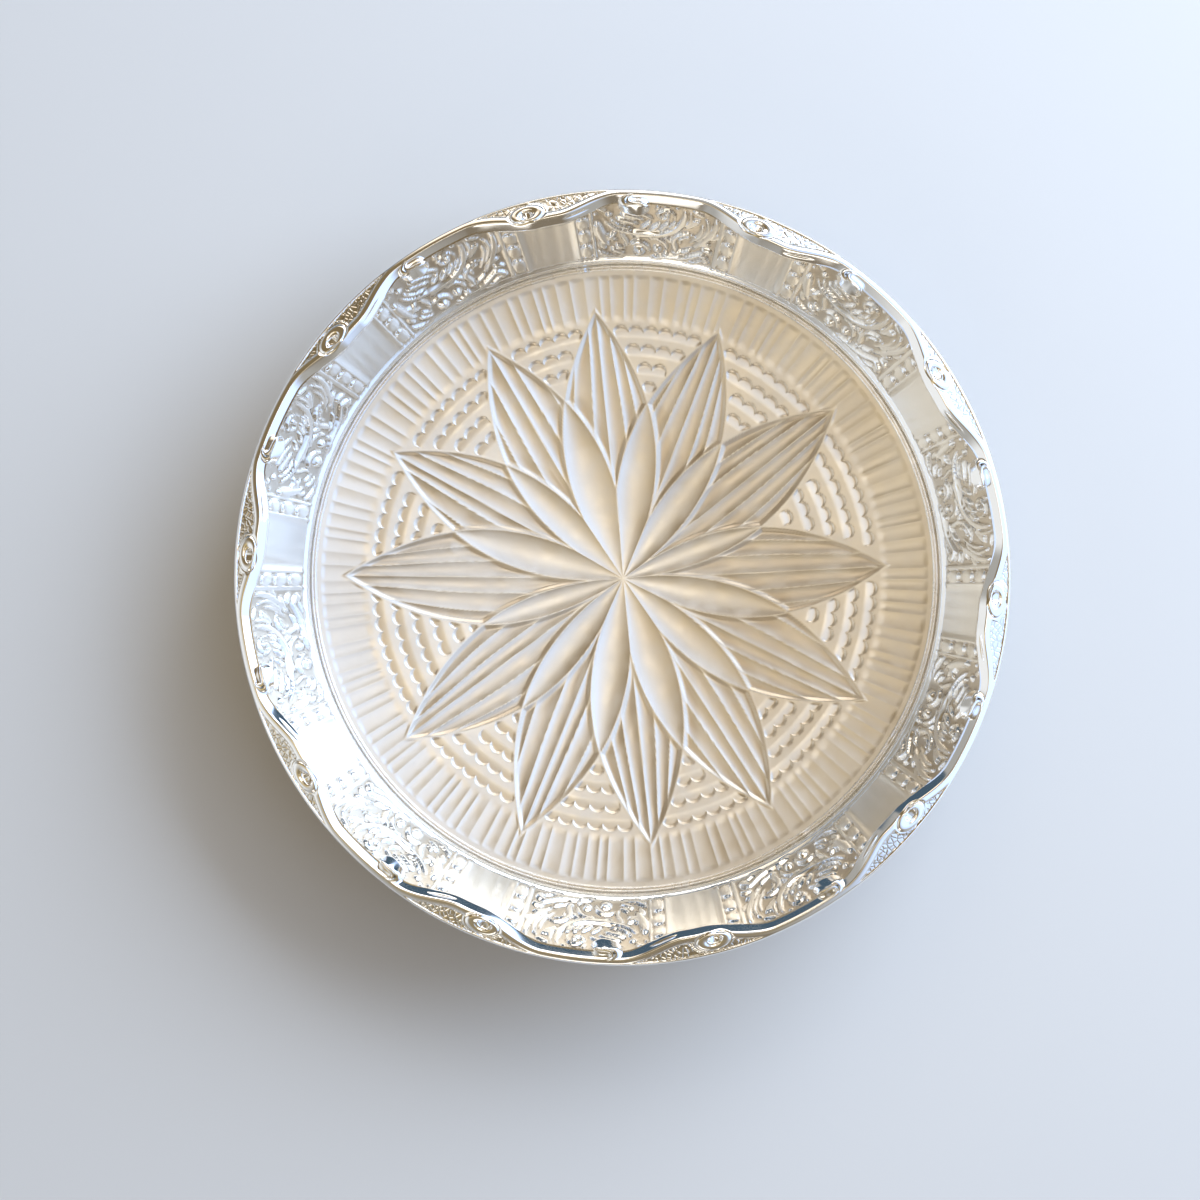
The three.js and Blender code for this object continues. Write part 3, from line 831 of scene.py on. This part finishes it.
def wall_relief(clock_deg, rise):
    """How far the wall stands proud, inward, at a place in the repeat and a height."""
    clock, up = np.meshgrid(clock_deg, rise, indexing="ij")
    y = (PLATE_TOP + up * (SEAT - PLATE_TOP) - CARVED_BOTTOM) / CARVED_RISE * CARVED_HEIGHT
    away = np.abs(clock)
    share = (clock - CARVED_START_DEG) / (CARVED_END_DEG - CARVED_START_DEG)
    carved = carved_relief(share * CARVED_LENGTH, y)
    strip = coin_strip((away - STRIP_MIDDLE_DEG) * STRIP_DEG_MM, y)
    bevel = np.clip((away - PLAIN_HALF_DEG + BEVEL_DEG) / BEVEL_DEG, 0, 1)
    plain = lerp(PLAIN_PROUD, FILLET_PROUD, bevel ** 2)
    proud = np.where(away < STRIP_END_DEG, strip, carved)
    proud = np.where(away < PLAIN_HALF_DEG, plain, proud)
    proud = np.maximum(proud, fillets(clock))
    proud *= smoothstep(MOULDING_SHARE, MOULDING_SHARE + RELIEF_FADE, up)
    proud += MOULDING_PROUD * hump(up, MOULDING_SHARE / 2, MOULDING_SHARE / 2)
    return proud * smoothstep(1, 1 - RELIEF_FADE, up)


def wall_face(share, rise, proud):
    """Radius and height of the ornamented inner face, going up."""
    radius = wall_radius(share, rise) + INWARD[0] * proud
    height = PLATE_TOP + rise * (SEAT - PLATE_TOP) + INWARD[1] * proud
    return radius, np.minimum(height, SEAT)


def wall_back(share, places):
    """Radius and height of the outer face, going down, hollowed behind the plain panels."""
    back = np.linspace(1, 0, BACK_STEPS)
    behind_plain = smoothstep(*BACK_HOLLOW_DEG, np.abs(places))[:, None]
    hollow = BACK_HOLLOW * behind_plain * np.sin(math.pi * back)
    radius = wall_radius(share, back) + WALL_THICKNESS - hollow
    height = PLATE_TOP + back * (SEAT - PLATE_TOP)
    return radius, np.broadcast_to(height, radius.shape)


# Tarnish and painted shade on the carved panels above the moulding, darker where the carving lies
# low
def wall_tarnish_and_shade(places, rise, proud):
    carved = (np.abs(places) > PLAIN_HALF_DEG)[:, None]
    return smoothstep(*CARVED_TARNISH_AND_SHADE_PROUD, proud) * carved * smoothstep(*CARVED_TARNISH_AND_SHADE_RISE, rise)


def make_wall():
    material = silver("carved_silver", (0.97, 0.96, 0.93), (0.55, 0.47, 0.36), 0.2,
                      grain=0.06, grain_scale=700, shade_and_tarnish_share=0.9, cloud_share=0.1)
    outer_plain = PLAIN_HALF_DEG - BEVEL_DEG
    places = spans((-CARVED_START_DEG, -PLAIN_HALF_DEG, 18), (-PLAIN_HALF_DEG, -outer_plain, 7),
                   (-outer_plain, outer_plain, 6), (outer_plain, PLAIN_HALF_DEG, 7),
                   (PLAIN_HALF_DEG, CARVED_START_DEG, 18), (CARVED_START_DEG, CARVED_END_DEG, 104))
    rise = np.concatenate([np.linspace(0, MOULDING_SHARE, 6, endpoint=False),
                           np.linspace(MOULDING_SHARE, 1, 50)])
    proud = wall_relief(places, rise)
    share = (places / REPEAT_DEG)[:, None]
    inner_radius, inner_height = wall_face(share, rise, proud)
    outer_radius, outer_height = wall_back(share, places)
    radius = np.tile(np.hstack([inner_radius, outer_radius]), (REPEATS, 1))
    height = np.tile(np.hstack([inner_height, outer_height]), (REPEATS, 1))
    plain_dirt = np.full(outer_radius.shape, BACK_DIRT)
    cavity = np.tile(np.hstack([wall_tarnish_and_shade(places, rise, proud), plain_dirt]), (REPEATS, 1))
    ring_piece("panelled_wall_dressed", radius, height, all_repeats(places), "panelled_wall",
               "wall_silver", material, {"cavity": cavity})


# Scroll border

LIP_HEIGHT = 0.8
ROLL_WIDTH = 2.5
ROLL_LEAN = 0.95
ROLL_DROP = 2.25
LIP_STEEP = 6
EDGE_RISE = 0.6
EDGE_ROUND = 1.0
FLANGE_SLOPE = 0.3
GROUND_SINK = 0.35
BORDER_THICKNESS = 1.1
SKIRT_LEAN = 0.8
SKIRT_DROP = SEAT - SKIRT_BOTTOM
MOULDING_WIDTH = 1.8
BORDER_MOULDING = 0.14
EDGE_LINE_HEIGHT = 0.09
EDGE_LINE = (0.62, 0.22)
GROUND_START = (0.95, 1.3)
GROUND_EDGE = 0.45
PEBBLED_DIRT = 0.5

# Volute: its middle, and its ring and sunk line as (radius, half width); eye, where it is
VOLUTE_DEG = -2.2
VOLUTE_IN = 4.7
VOLUTE_FLATTEN = 1.9
VOLUTE_RING = (4.1, 1.6)
VOLUTE_RING_HEIGHT = 0.3
VOLUTE_LINE = (5.9, 0.45)
VOLUTE_LINE_DEPTH = 0.25
VOLUTE_END = (7.2, 6.2)
EYE_PLACE = (-0.7, 0.9)
EYE_RADIUS = 2.4
EYE_EDGE = 0.85
EYE_DEPTH = 2.95
DEG_MM = math.radians(1) * (RIM_RADIUS - 5)
CREST_RADIUS = 0.1
CURL_SHIFT_DEG = -0.3
CREST_LEAST = 1.6

# Mesh of one repeat: stations as (from, to, count) in degrees, and steps across the section
BORDER_STATIONS = ((-18, -6, 44), (-6, 2, 60), (2, 13, 50), (13, 18, 18))
ROLL_STEPS = 15
FLAT_STEPS = 24
EDGE_STEPS = 6
SKIRT_STEPS = 7

# Cuts beside the volute: places as (degrees, millimetres in from the edge), width and depth
BORDER_CUTS = [
    ([(-5.0, 5.4), (-4.6, 6.4), (-3.4, 7.3), (-1.8, 7.5)], 0.4, 0.5),
    ([(-4.6, 2.6), (-3.2, 1.6), (-1.4, 1.4)], 0.25, 0.3),
    ([(3.0, 9.0), (5.2, 7.8), (7.6, 6.1)], 0.28, 0.3),
]

# The curl that ends each scroll, a comma lying over the lip. Each row holds one place on its
# outline and the place on its spine that faces it, both as (degrees, millimetres in from the
# edge), the heights of spine and outline over the seat, and how late the face falls between.
CURL_ROWS = [
    (15.5, 8.80, 14.9, 5.9, 3.0, 0.4, 1.1), (16.5, 7.90, 15.5, 5.9, 3.0, 0.4, 1.2),
    (17.05, 6.6, 16.0, 5.8, 2.9, 0.5, 1.8), (16.8, 5.20, 16.0, 5.6, 2.9, 0.9, 3.0),
    (15.9, 4.40, 15.4, 5.5, 2.9, 1.2, 4.0), (14.9, 4.25, 14.6, 5.4, 2.9, 1.3, 4.0),
    (14.15, 3.9, 13.9, 5.0, 2.8, 1.3, 4.0), (14.1, 3.20, 13.5, 4.0, 2.6, 1.5, 4.0),
    (14.7, 2.50, 13.8, 2.9, 2.5, 1.8, 3.0), (15.8, 2.00, 14.8, 2.1, 2.3, 2.0, 2.0),
    (14.6, 1.50, 14.4, 1.9, 2.3, 1.9, 2.0), (13.4, 1.90, 13.7, 2.6, 2.5, 1.8, 3.0),
    (12.5, 3.00, 13.2, 3.6, 2.6, 1.2, 3.0), (12.15, 4.6, 13.2, 4.7, 2.8, 0.8, 3.0),
    (12.3, 6.30, 13.4, 5.6, 2.9, 0.5, 2.0), (13.1, 7.80, 13.9, 5.9, 3.0, 0.4, 1.3),
    (14.3, 8.60, 14.4, 5.9, 3.0, 0.4, 1.1),
]
CURL_STEPS = 6
CURL_RINGS = 14
CURL_UNDERSIDE = -0.2


def flange(inward):
    """Height of the plain flange at a distance in from the outer edge."""
    rounded = hump(np.minimum(inward, EDGE_ROUND), EDGE_ROUND, EDGE_ROUND)
    return EDGE_RISE + EDGE_ROUND * rounded + FLANGE_SLOPE * inward


def border_width(clock_deg):
    return BORDER_NARROW + (BORDER_WIDE - BORDER_NARROW) * wave(clock_deg / REPEAT_DEG)


def volute(x, inward):
    """A flattened ring with a scooped eye, and where it covers the border's face."""
    across = (inward - VOLUTE_IN) * VOLUTE_FLATTEN
    along = x - VOLUTE_DEG * DEG_MM
    radius = np.hypot(along, across)
    relief = VOLUTE_RING_HEIGHT * hump(radius, *VOLUTE_RING)
    relief -= VOLUTE_LINE_DEPTH * bell(radius, *VOLUTE_LINE)
    from_eye = np.hypot(along - EYE_PLACE[0], across - EYE_PLACE[1])
    fall = np.clip((across - EYE_PLACE[1]) / EYE_RADIUS, -1, 1)
    eye = smoothstep(EYE_RADIUS, EYE_EDGE * EYE_RADIUS, from_eye)
    relief -= EYE_DEPTH * (fall + 1) / 2 * eye
    return relief, smoothstep(*VOLUTE_END, radius)


def roll_height(clock_deg, distance):
    """Height of the roll that falls to the lip, by distance from the wavy edge."""
    crest = flange(border_width(clock_deg) - ROLL_WIDTH)
    depth = distance / ROLL_WIDTH
    bulge = np.sqrt(np.clip(1 - (1 - np.minimum(depth, 1)) ** 2, 0, 1))
    roll = crest - ROLL_DROP * (1 - lerp(bulge, depth, ROLL_LEAN))
    return np.minimum(roll, LIP_HEIGHT + LIP_STEEP * distance)


def border_height(clock_deg, inward):
    """Height of the border's face above the seat, and where it is pebbled."""
    x = clock_deg * DEG_MM
    edge_deg = np.linspace(-24, 40, 320)
    edge = np.column_stack([edge_deg * DEG_MM, border_width(edge_deg)])
    distance, _ = nearest_on(edge, x, inward)

    half = MOULDING_WIDTH / 2
    moulding = BORDER_MOULDING * hump(distance, ROLL_WIDTH + half, half)
    spiral, spiral_mask = volute(x, inward)
    moulding_end = ROLL_WIDTH + MOULDING_WIDTH
    ground = smoothstep(moulding_end, moulding_end + GROUND_EDGE, distance)
    ground *= smoothstep(*GROUND_START, inward) * (1 - spiral_mask)
    face = flange(inward)
    face += moulding * (1 - spiral_mask) - GROUND_SINK * ground + spiral * spiral_mask
    face += EDGE_LINE_HEIGHT * bell(inward, *EDGE_LINE)

    height = soft_min(face, roll_height(clock_deg, distance), CREST_RADIUS)
    for places, cut_width, cut_depth in BORDER_CUTS:
        path = [(clock * DEG_MM, place_in) for clock, place_in in places]
        cut_groove(height, x, inward, path, cut_width, cut_depth)
    return np.minimum(height, RIM_TOP - SEAT), ground


def border_steps(width):
    """Distances in from the outer edge, from the lip over the roll and flange to the edge."""
    crest = np.maximum(width - ROLL_WIDTH, CREST_LEAST)
    share = 1 - np.linspace(0, 1, ROLL_STEPS, endpoint=False) ** 1.5
    roll = crest[:, None] + (width - crest)[:, None] * share
    across = np.linspace(0, 1, FLAT_STEPS, endpoint=False)
    flat = lerp(crest[:, None], EDGE_ROUND, across)
    rounded = (1 - np.sin(np.linspace(0, math.pi / 2, EDGE_STEPS))) * EDGE_ROUND
    return np.hstack([roll, flat, np.tile(rounded, (len(width), 1))])


def border_section(places):
    """Radius and level over the seat round the border's section, and where it is pebbled."""
    width = border_width(places)
    inward = border_steps(width)
    height, ground = border_height(np.broadcast_to(places[:, None], inward.shape), inward)
    height[:, 0] = LIP_HEIGHT
    column = np.ones((len(places), 1))
    drop = np.linspace(0, 1, SKIRT_STEPS)[1:]
    skirt_radius = RIM_RADIUS - SKIRT_LEAN * drop * column
    skirt_level = lerp(EDGE_RISE, -SKIRT_DROP, drop) * column
    inside = RIM_RADIUS - SKIRT_LEAN - BORDER_THICKNESS
    share = (places / REPEAT_DEG)[:, None]
    shoulder = wall_radius(share, 1.0) + WALL_THICKNESS + SOLDER_GAP
    radius = np.hstack([(RIM_RADIUS - width)[:, None], RIM_RADIUS - inward, skirt_radius,
                        inside * column, (RIM_RADIUS - BORDER_THICKNESS) * column, shoulder])
    level = np.hstack([0 * column, height, skirt_level, -SKIRT_DROP * column,
                       (EDGE_RISE - BORDER_THICKNESS) * column, 0 * column])
    pebbled = np.zeros_like(radius)
    pebbled[:, 1:1 + ground.shape[1]] = ground
    return radius, level, pebbled


def make_border():
    material = silver("mirror_silver", (0.95, 0.94, 0.92), (0.7, 0.66, 0.58), 0.1,
                      grain=0.02, grain_scale=300, shade_and_tarnish_share=0.5, cloud_share=0.1,
                      roughness_swing=0.03, stipple=0.25)
    places = spans(*BORDER_STATIONS)
    section = border_section(places)
    radius, level, pebbled = [np.tile(values, (REPEATS, 1)) for values in section]
    rim = ring_piece("scroll_border", radius, level + SEAT, all_repeats(places), "rim_border",
                     "rim_silver", material, {"cavity": PEBBLED_DIRT * pebbled, "stipple": pebbled})
    rim.data.set_sharp_from_angle(angle=math.radians(62))
    make_curls(material)


def make_curls(material):
    """The ten curls, each swept in rings from its spine out to its outline and underneath."""
    rows = np.array(CURL_ROWS)
    looped = curve_through(np.vstack([rows[-2:], rows, rows[:2]]), CURL_STEPS)
    looped = looped[2 * CURL_STEPS:(2 + len(rows)) * CURL_STEPS]
    out_deg, out_in, spine_deg, spine_in, spine_z, out_z, late = looped.T[:, :, None]
    t = np.linspace(0, 1, CURL_RINGS)[None, :]
    level = spine_z + (out_z - spine_z) * t ** late
    clock = np.hstack([lerp(spine_deg, out_deg, t), out_deg, spine_deg]) + CURL_SHIFT_DEG
    inward = np.hstack([lerp(spine_in, out_in, t), out_in, spine_in])
    underside = np.full_like(out_z, CURL_UNDERSIDE)
    height = np.hstack([level, underside, underside]) + SEAT
    stations, size = height.shape
    points, faces = [], []
    for repeat in range(REPEATS):
        angle = np.radians(FIRST_PANEL_DEG - repeat * REPEAT_DEG - clock)
        radius = RIM_RADIUS - inward
        turned = np.stack([radius * np.cos(angle), radius * np.sin(angle), height], -1)
        points.append(turned.reshape(-1, 3))
        faces.append(swept_faces(stations, size) + repeat * stations * size)
    clean = np.zeros(REPEATS * stations * size)
    curls = mesh_piece("scroll_curls", np.vstack(points), [np.concatenate(faces)], "rim_border",
                       "rim_silver", material, {"cavity": clean, "stipple": clean})
    curls.data.set_sharp_from_angle(angle=math.radians(50))


# Seam bead: a wire rolled with two beads, butted at one place and tacked with solder

BEAD_WIDTH = 1.9
BEAD_VALLEY = 0.45
BEAD_BUTT_DEG = 96.6
BEAD_STATIONS = 540
BEAD_STEPS = 19
BEAD_USUAL = 0.93
BEAD_SWELL = 0.02
SWELL_WAVES = (37, 11)
# Darker along the valley between the two beads
BEAD_VALLEY_DARKENING = 0.8
SOLDER_DEG = (-54.7, -30.7)
SOLDER_HALF_DEG = 0.35
SOLDER_HEIGHT = 0.8


def bead_height(across, clock):
    """Height over the plate: two beads that swell a little along the wire, and solder blobs."""
    twin = np.maximum(hump(across, 0.25, 0.25), hump(across, 0.75, 0.25))
    valley = hump(across, 0.5, 0.5)
    angle = FIRST_PANEL_DEG - clock
    turn = np.radians(angle)
    swell = 1 + BEAD_SWELL * np.sin(turn * SWELL_WAVES[0]) * np.sin(turn * SWELL_WAVES[1])
    from_solder = [np.abs((angle - place + 180) % 360 - 180) for place in SOLDER_DEG]
    blob = sum(bell(away, 0, SOLDER_HALF_DEG) for away in from_solder)
    share = np.outer(BEAD_USUAL * swell, np.maximum(twin, BEAD_VALLEY * valley))
    share += np.outer(SOLDER_HEIGHT * blob, valley)
    return (BEAD_TOP - PLATE_TOP) * np.minimum(share, 1)


def make_bead():
    material = silver("bead_silver", (0.95, 0.93, 0.9), (0.5, 0.42, 0.3), 0.25,
                      grain=0.02, grain_scale=600, shade_and_tarnish_share=0.6, cloud_share=0.1)
    gap_deg = math.degrees(SOLDER_GAP / BEAD_OUTSIDE)
    clock = np.linspace(gap_deg / 2, 360 - gap_deg / 2, BEAD_STATIONS)
    clock += FIRST_PANEL_DEG - BEAD_BUTT_DEG
    across = (1 - np.cos(np.linspace(0, math.pi, BEAD_STEPS))) / 2
    height = bead_height(across, clock)
    radius = np.broadcast_to(BEAD_OUTSIDE - BEAD_WIDTH * (1 - across), height.shape)
    cap = np.arange(BEAD_STEPS)[None, :]
    last = (BEAD_STATIONS - 1) * BEAD_STEPS
    faces = [swept_faces(BEAD_STATIONS, BEAD_STEPS, closed=False), cap, last + cap[:, ::-1]]
    cavity = np.broadcast_to(BEAD_VALLEY_DARKENING * bell(across, 0.5, 0.09), height.shape)
    mesh_piece("twin_bead", swept_points(radius, PLATE_TOP + height, clock), faces,
               "seam_bead", "bead_silver", material, {"cavity": cavity})


# Foot ring: a plain turned ring with a waist and a rounded sole

FOOT_TOP_RADIUS = 86.0
FOOT_FLARE = 3.4
FOOT_TOP_WIDTH = 4.0
FOOT_NECK_WIDTH = 1.8
FOOT_SOLE_WIDTH = 3.0
FOOT_SOLE_HEIGHT = 1.8
FOOT_SOLE_ROUND = 0.9
FOOT_COLLAR = 1.2
FOOT_STEP = 0.2
FOOT_STEPS = 12
FOOT_STATIONS = 288
# Darker towards the top of the foot, under the plate: how much, and the heights where it starts and
# is full
FOOT_TOP_DARKENING = 0.4
FOOT_TOP_DARKENING_RISE = (3, 6)


def foot_profile():
    """Radii and heights round the section: sole, inside, collar under the plate, outside."""
    turn = np.linspace(0, 1, FOOT_STEPS)
    waist = PLATE_UNDER - FOOT_COLLAR
    sole = FOOT_TOP_RADIUS + FOOT_FLARE
    half_sole = FOOT_SOLE_WIDTH / 2
    half_neck = FOOT_NECK_WIDTH / 2
    top_inside = FOOT_TOP_RADIUS - FOOT_TOP_WIDTH / 2
    top_outside = FOOT_TOP_RADIUS + FOOT_TOP_WIDTH / 2
    middle = sole - FOOT_FLARE * smoothstep(0, 1, turn)
    rise = lerp(FOOT_SOLE_HEIGHT, waist, turn)
    inner = middle - lerp(half_sole, half_neck, np.sin(math.pi * turn / 2))
    outer = middle + lerp(half_neck + FOOT_STEP, half_neck, turn)
    bead = np.linspace(math.pi / 2, -math.pi / 2, 8)
    rounded = np.column_stack([sole + half_sole - FOOT_SOLE_ROUND * (1 - np.cos(bead)),
                               FOOT_SOLE_ROUND * (1 + np.sin(bead))])
    return np.vstack([
        [[sole - half_sole, 0]], np.column_stack([inner, rise]), [[top_inside, waist + FOOT_STEP]],
        [[top_inside, PLATE_UNDER], [top_outside, PLATE_UNDER]],
        [[top_outside, waist + FOOT_STEP]], np.column_stack([outer, rise])[::-1], rounded])


def make_foot():
    material = silver("foot_silver", (0.92, 0.89, 0.84), (0.6, 0.52, 0.4), 0.24,
                      grain_scale=400)
    profile = foot_profile()
    clock = np.arange(FOOT_STATIONS) / FOOT_STATIONS * 360
    radius = np.broadcast_to(profile[:, 0], (FOOT_STATIONS, len(profile)))
    height = np.broadcast_to(profile[:, 1], radius.shape)
    cavity = np.broadcast_to(FOOT_TOP_DARKENING * smoothstep(*FOOT_TOP_DARKENING_RISE, profile[:, 1]), radius.shape)
    foot = ring_piece("turned_foot", radius, height, clock, "foot_ring", "foot_silver",
                      material, {"cavity": cavity})
    foot.data.set_sharp_from_angle(angle=math.radians(50))


# Studio: a pale table, soft window light from the right and a quiet room

TABLE_HALF = 4.0
TABLE_COLOUR = (0.45, 0.415, 0.36)
TABLE_ROUGHNESS = 0.6
BACKDROP_COLOUR = (0.84, 0.85, 0.87)
BOWL_MIDDLE = (0, 0, 0.02)
WINDOW_PLACE = (1.083, 0.796, 0.56)
WINDOW_SIZE = (1.7, 1.3)
WINDOW_ENERGY = 64
WINDOW_COLOUR = (0.79, 1.02, 1.46)


def make_table():
    mesh = bpy.data.meshes.new("table")
    corners = [(-TABLE_HALF, -TABLE_HALF, 0), (TABLE_HALF, -TABLE_HALF, 0),
               (TABLE_HALF, TABLE_HALF, 0), (-TABLE_HALF, TABLE_HALF, 0)]
    mesh.from_pydata(corners, [], [(0, 1, 2, 3)])
    material = bpy.data.materials.new("pale_table")
    material.use_nodes = True
    shader = material.node_tree.nodes["Principled BSDF"]
    shader.inputs["Base Color"].default_value = (*TABLE_COLOUR, 1)
    shader.inputs["Roughness"].default_value = TABLE_ROUGHNESS
    mesh.materials.append(material)
    add_object("table", mesh)


def make_window():
    data = bpy.data.lights.new("window", "AREA")
    data.shape = "RECTANGLE"
    data.size, data.size_y = WINDOW_SIZE
    data.energy = WINDOW_ENERGY
    data.color = WINDOW_COLOUR
    light = add_object("window", data)
    light.visible_glossy = False  # the metal mirrors the window's patch in the room instead
    aim(light, Vector(WINDOW_PLACE), Vector(BOWL_MIDDLE), Vector((0, 0, 1)))


# What the metal mirrors, the window's glow too: direction, where the patch starts and is full
# as the cosine from that direction, and its colour. A later patch lies over an earlier one.
ROOM_COLOUR = (0.66, 0.65, 0.62)
ROOM_PATCHES = [
    ((-0.24, 0.0, 1), 0.81, 0.95, (1.05, 0.8, 0.36)),
    ((-0.22, 0.02, 1), 0.955, 0.99, (2.1, 1.85, 1.48)),
    ((-0.1, -0.65, 1), 0.89, 0.97, (0.46, 0.37, 0.22)),
    ((-1, -0.25, 0.35), 0.8, 0.95, (1.45, 1.48, 1.5)),
    ((-0.5, 0.5, 1), 0.83, 0.95, (0.34, 0.25, 0.13)),
    ((0, -1, 0.45), 0.86, 0.96, (0.36, 0.30, 0.22)),
    ((-0.15, -1, 0.54), 0.965, 0.985, (3.0, 2.85, 2.6)),
    ((0.85, 0.1, 0.5), 0.555, 0.855, (1.5, 1.95, 2.9)),
    ((-0.3, 0.9, 0.6), 0.955, 0.98, (2.4, 2.1, 1.7)),
    ((-0.05, 1, 0.58), 0.955, 0.98, (4.6, 4.5, 4.4)),
    ((0.5, 0.9, 0.62), 0.945, 0.978, (4.6, 4.9, 5.4)),
    ((0.8, 0.48, 0.42), 0.89, 0.955, (3.3, 4.3, 6.2)),
    ((0.28, 0.9, -0.34), 0.74, 0.78, (0.105, 0.175, 0.25)),
    ((-0.3, 0.9, -0.34), 0.71, 0.75, (0.105, 0.175, 0.25)),
    ((0.03, 0.06, 1), 0.99, 0.997, (4.2, 4.0, 3.7)),
]
ROOM_STRENGTH = 0.62


def make_world():
    """A quiet room seen by the metal; the camera sees plain pale grey behind the table."""
    world = bpy.data.worlds.new("room")
    bpy.context.scene.world = world
    world.use_nodes = True
    tree = world.node_tree
    link = tree.links.new
    place = node_in(tree, "ShaderNodeTexCoord").outputs["Generated"]
    last = node_in(tree, "ShaderNodeRGB").outputs[0]
    last.default_value = (*ROOM_COLOUR, 1)
    for direction, start, full, colour in ROOM_PATCHES:
        toward = node_in(tree, "ShaderNodeVectorMath", {1: Vector(direction).normalized()},
                         operation="DOT_PRODUCT")
        link(place, toward.inputs[0])
        share = remap(tree, toward.outputs["Value"], start, full,
                      interpolation_type="SMOOTHSTEP")
        patch = node_in(tree, "ShaderNodeMix", {"B": (*colour, 1)}, data_type="RGBA")
        link(share, patch.inputs["Factor"])
        link(last, patch.inputs["A"])
        last = patch.outputs["Result"]
    room = tree.nodes["Background"]
    room.inputs["Strength"].default_value = ROOM_STRENGTH
    link(last, room.inputs["Color"])
    plain = node_in(tree, "ShaderNodeBackground", {"Color": (*BACKDROP_COLOUR, 1)})
    path = node_in(tree, "ShaderNodeLightPath")
    choose = node_in(tree, "ShaderNodeMixShader")
    link(path.outputs["Is Camera Ray"], choose.inputs["Fac"])
    link(room.outputs["Background"], choose.inputs[1])
    link(plain.outputs["Background"], choose.inputs[2])
    link(choose.outputs["Shader"], tree.nodes["World Output"].inputs["Surface"])


def make_studio():
    make_table()
    make_world()
    make_window()
    bpy.context.scene.view_settings.view_transform = "Standard"


make_camera()
make_studio()
make_floor_plate()
make_wall()
make_bead()
make_border()
make_foot()
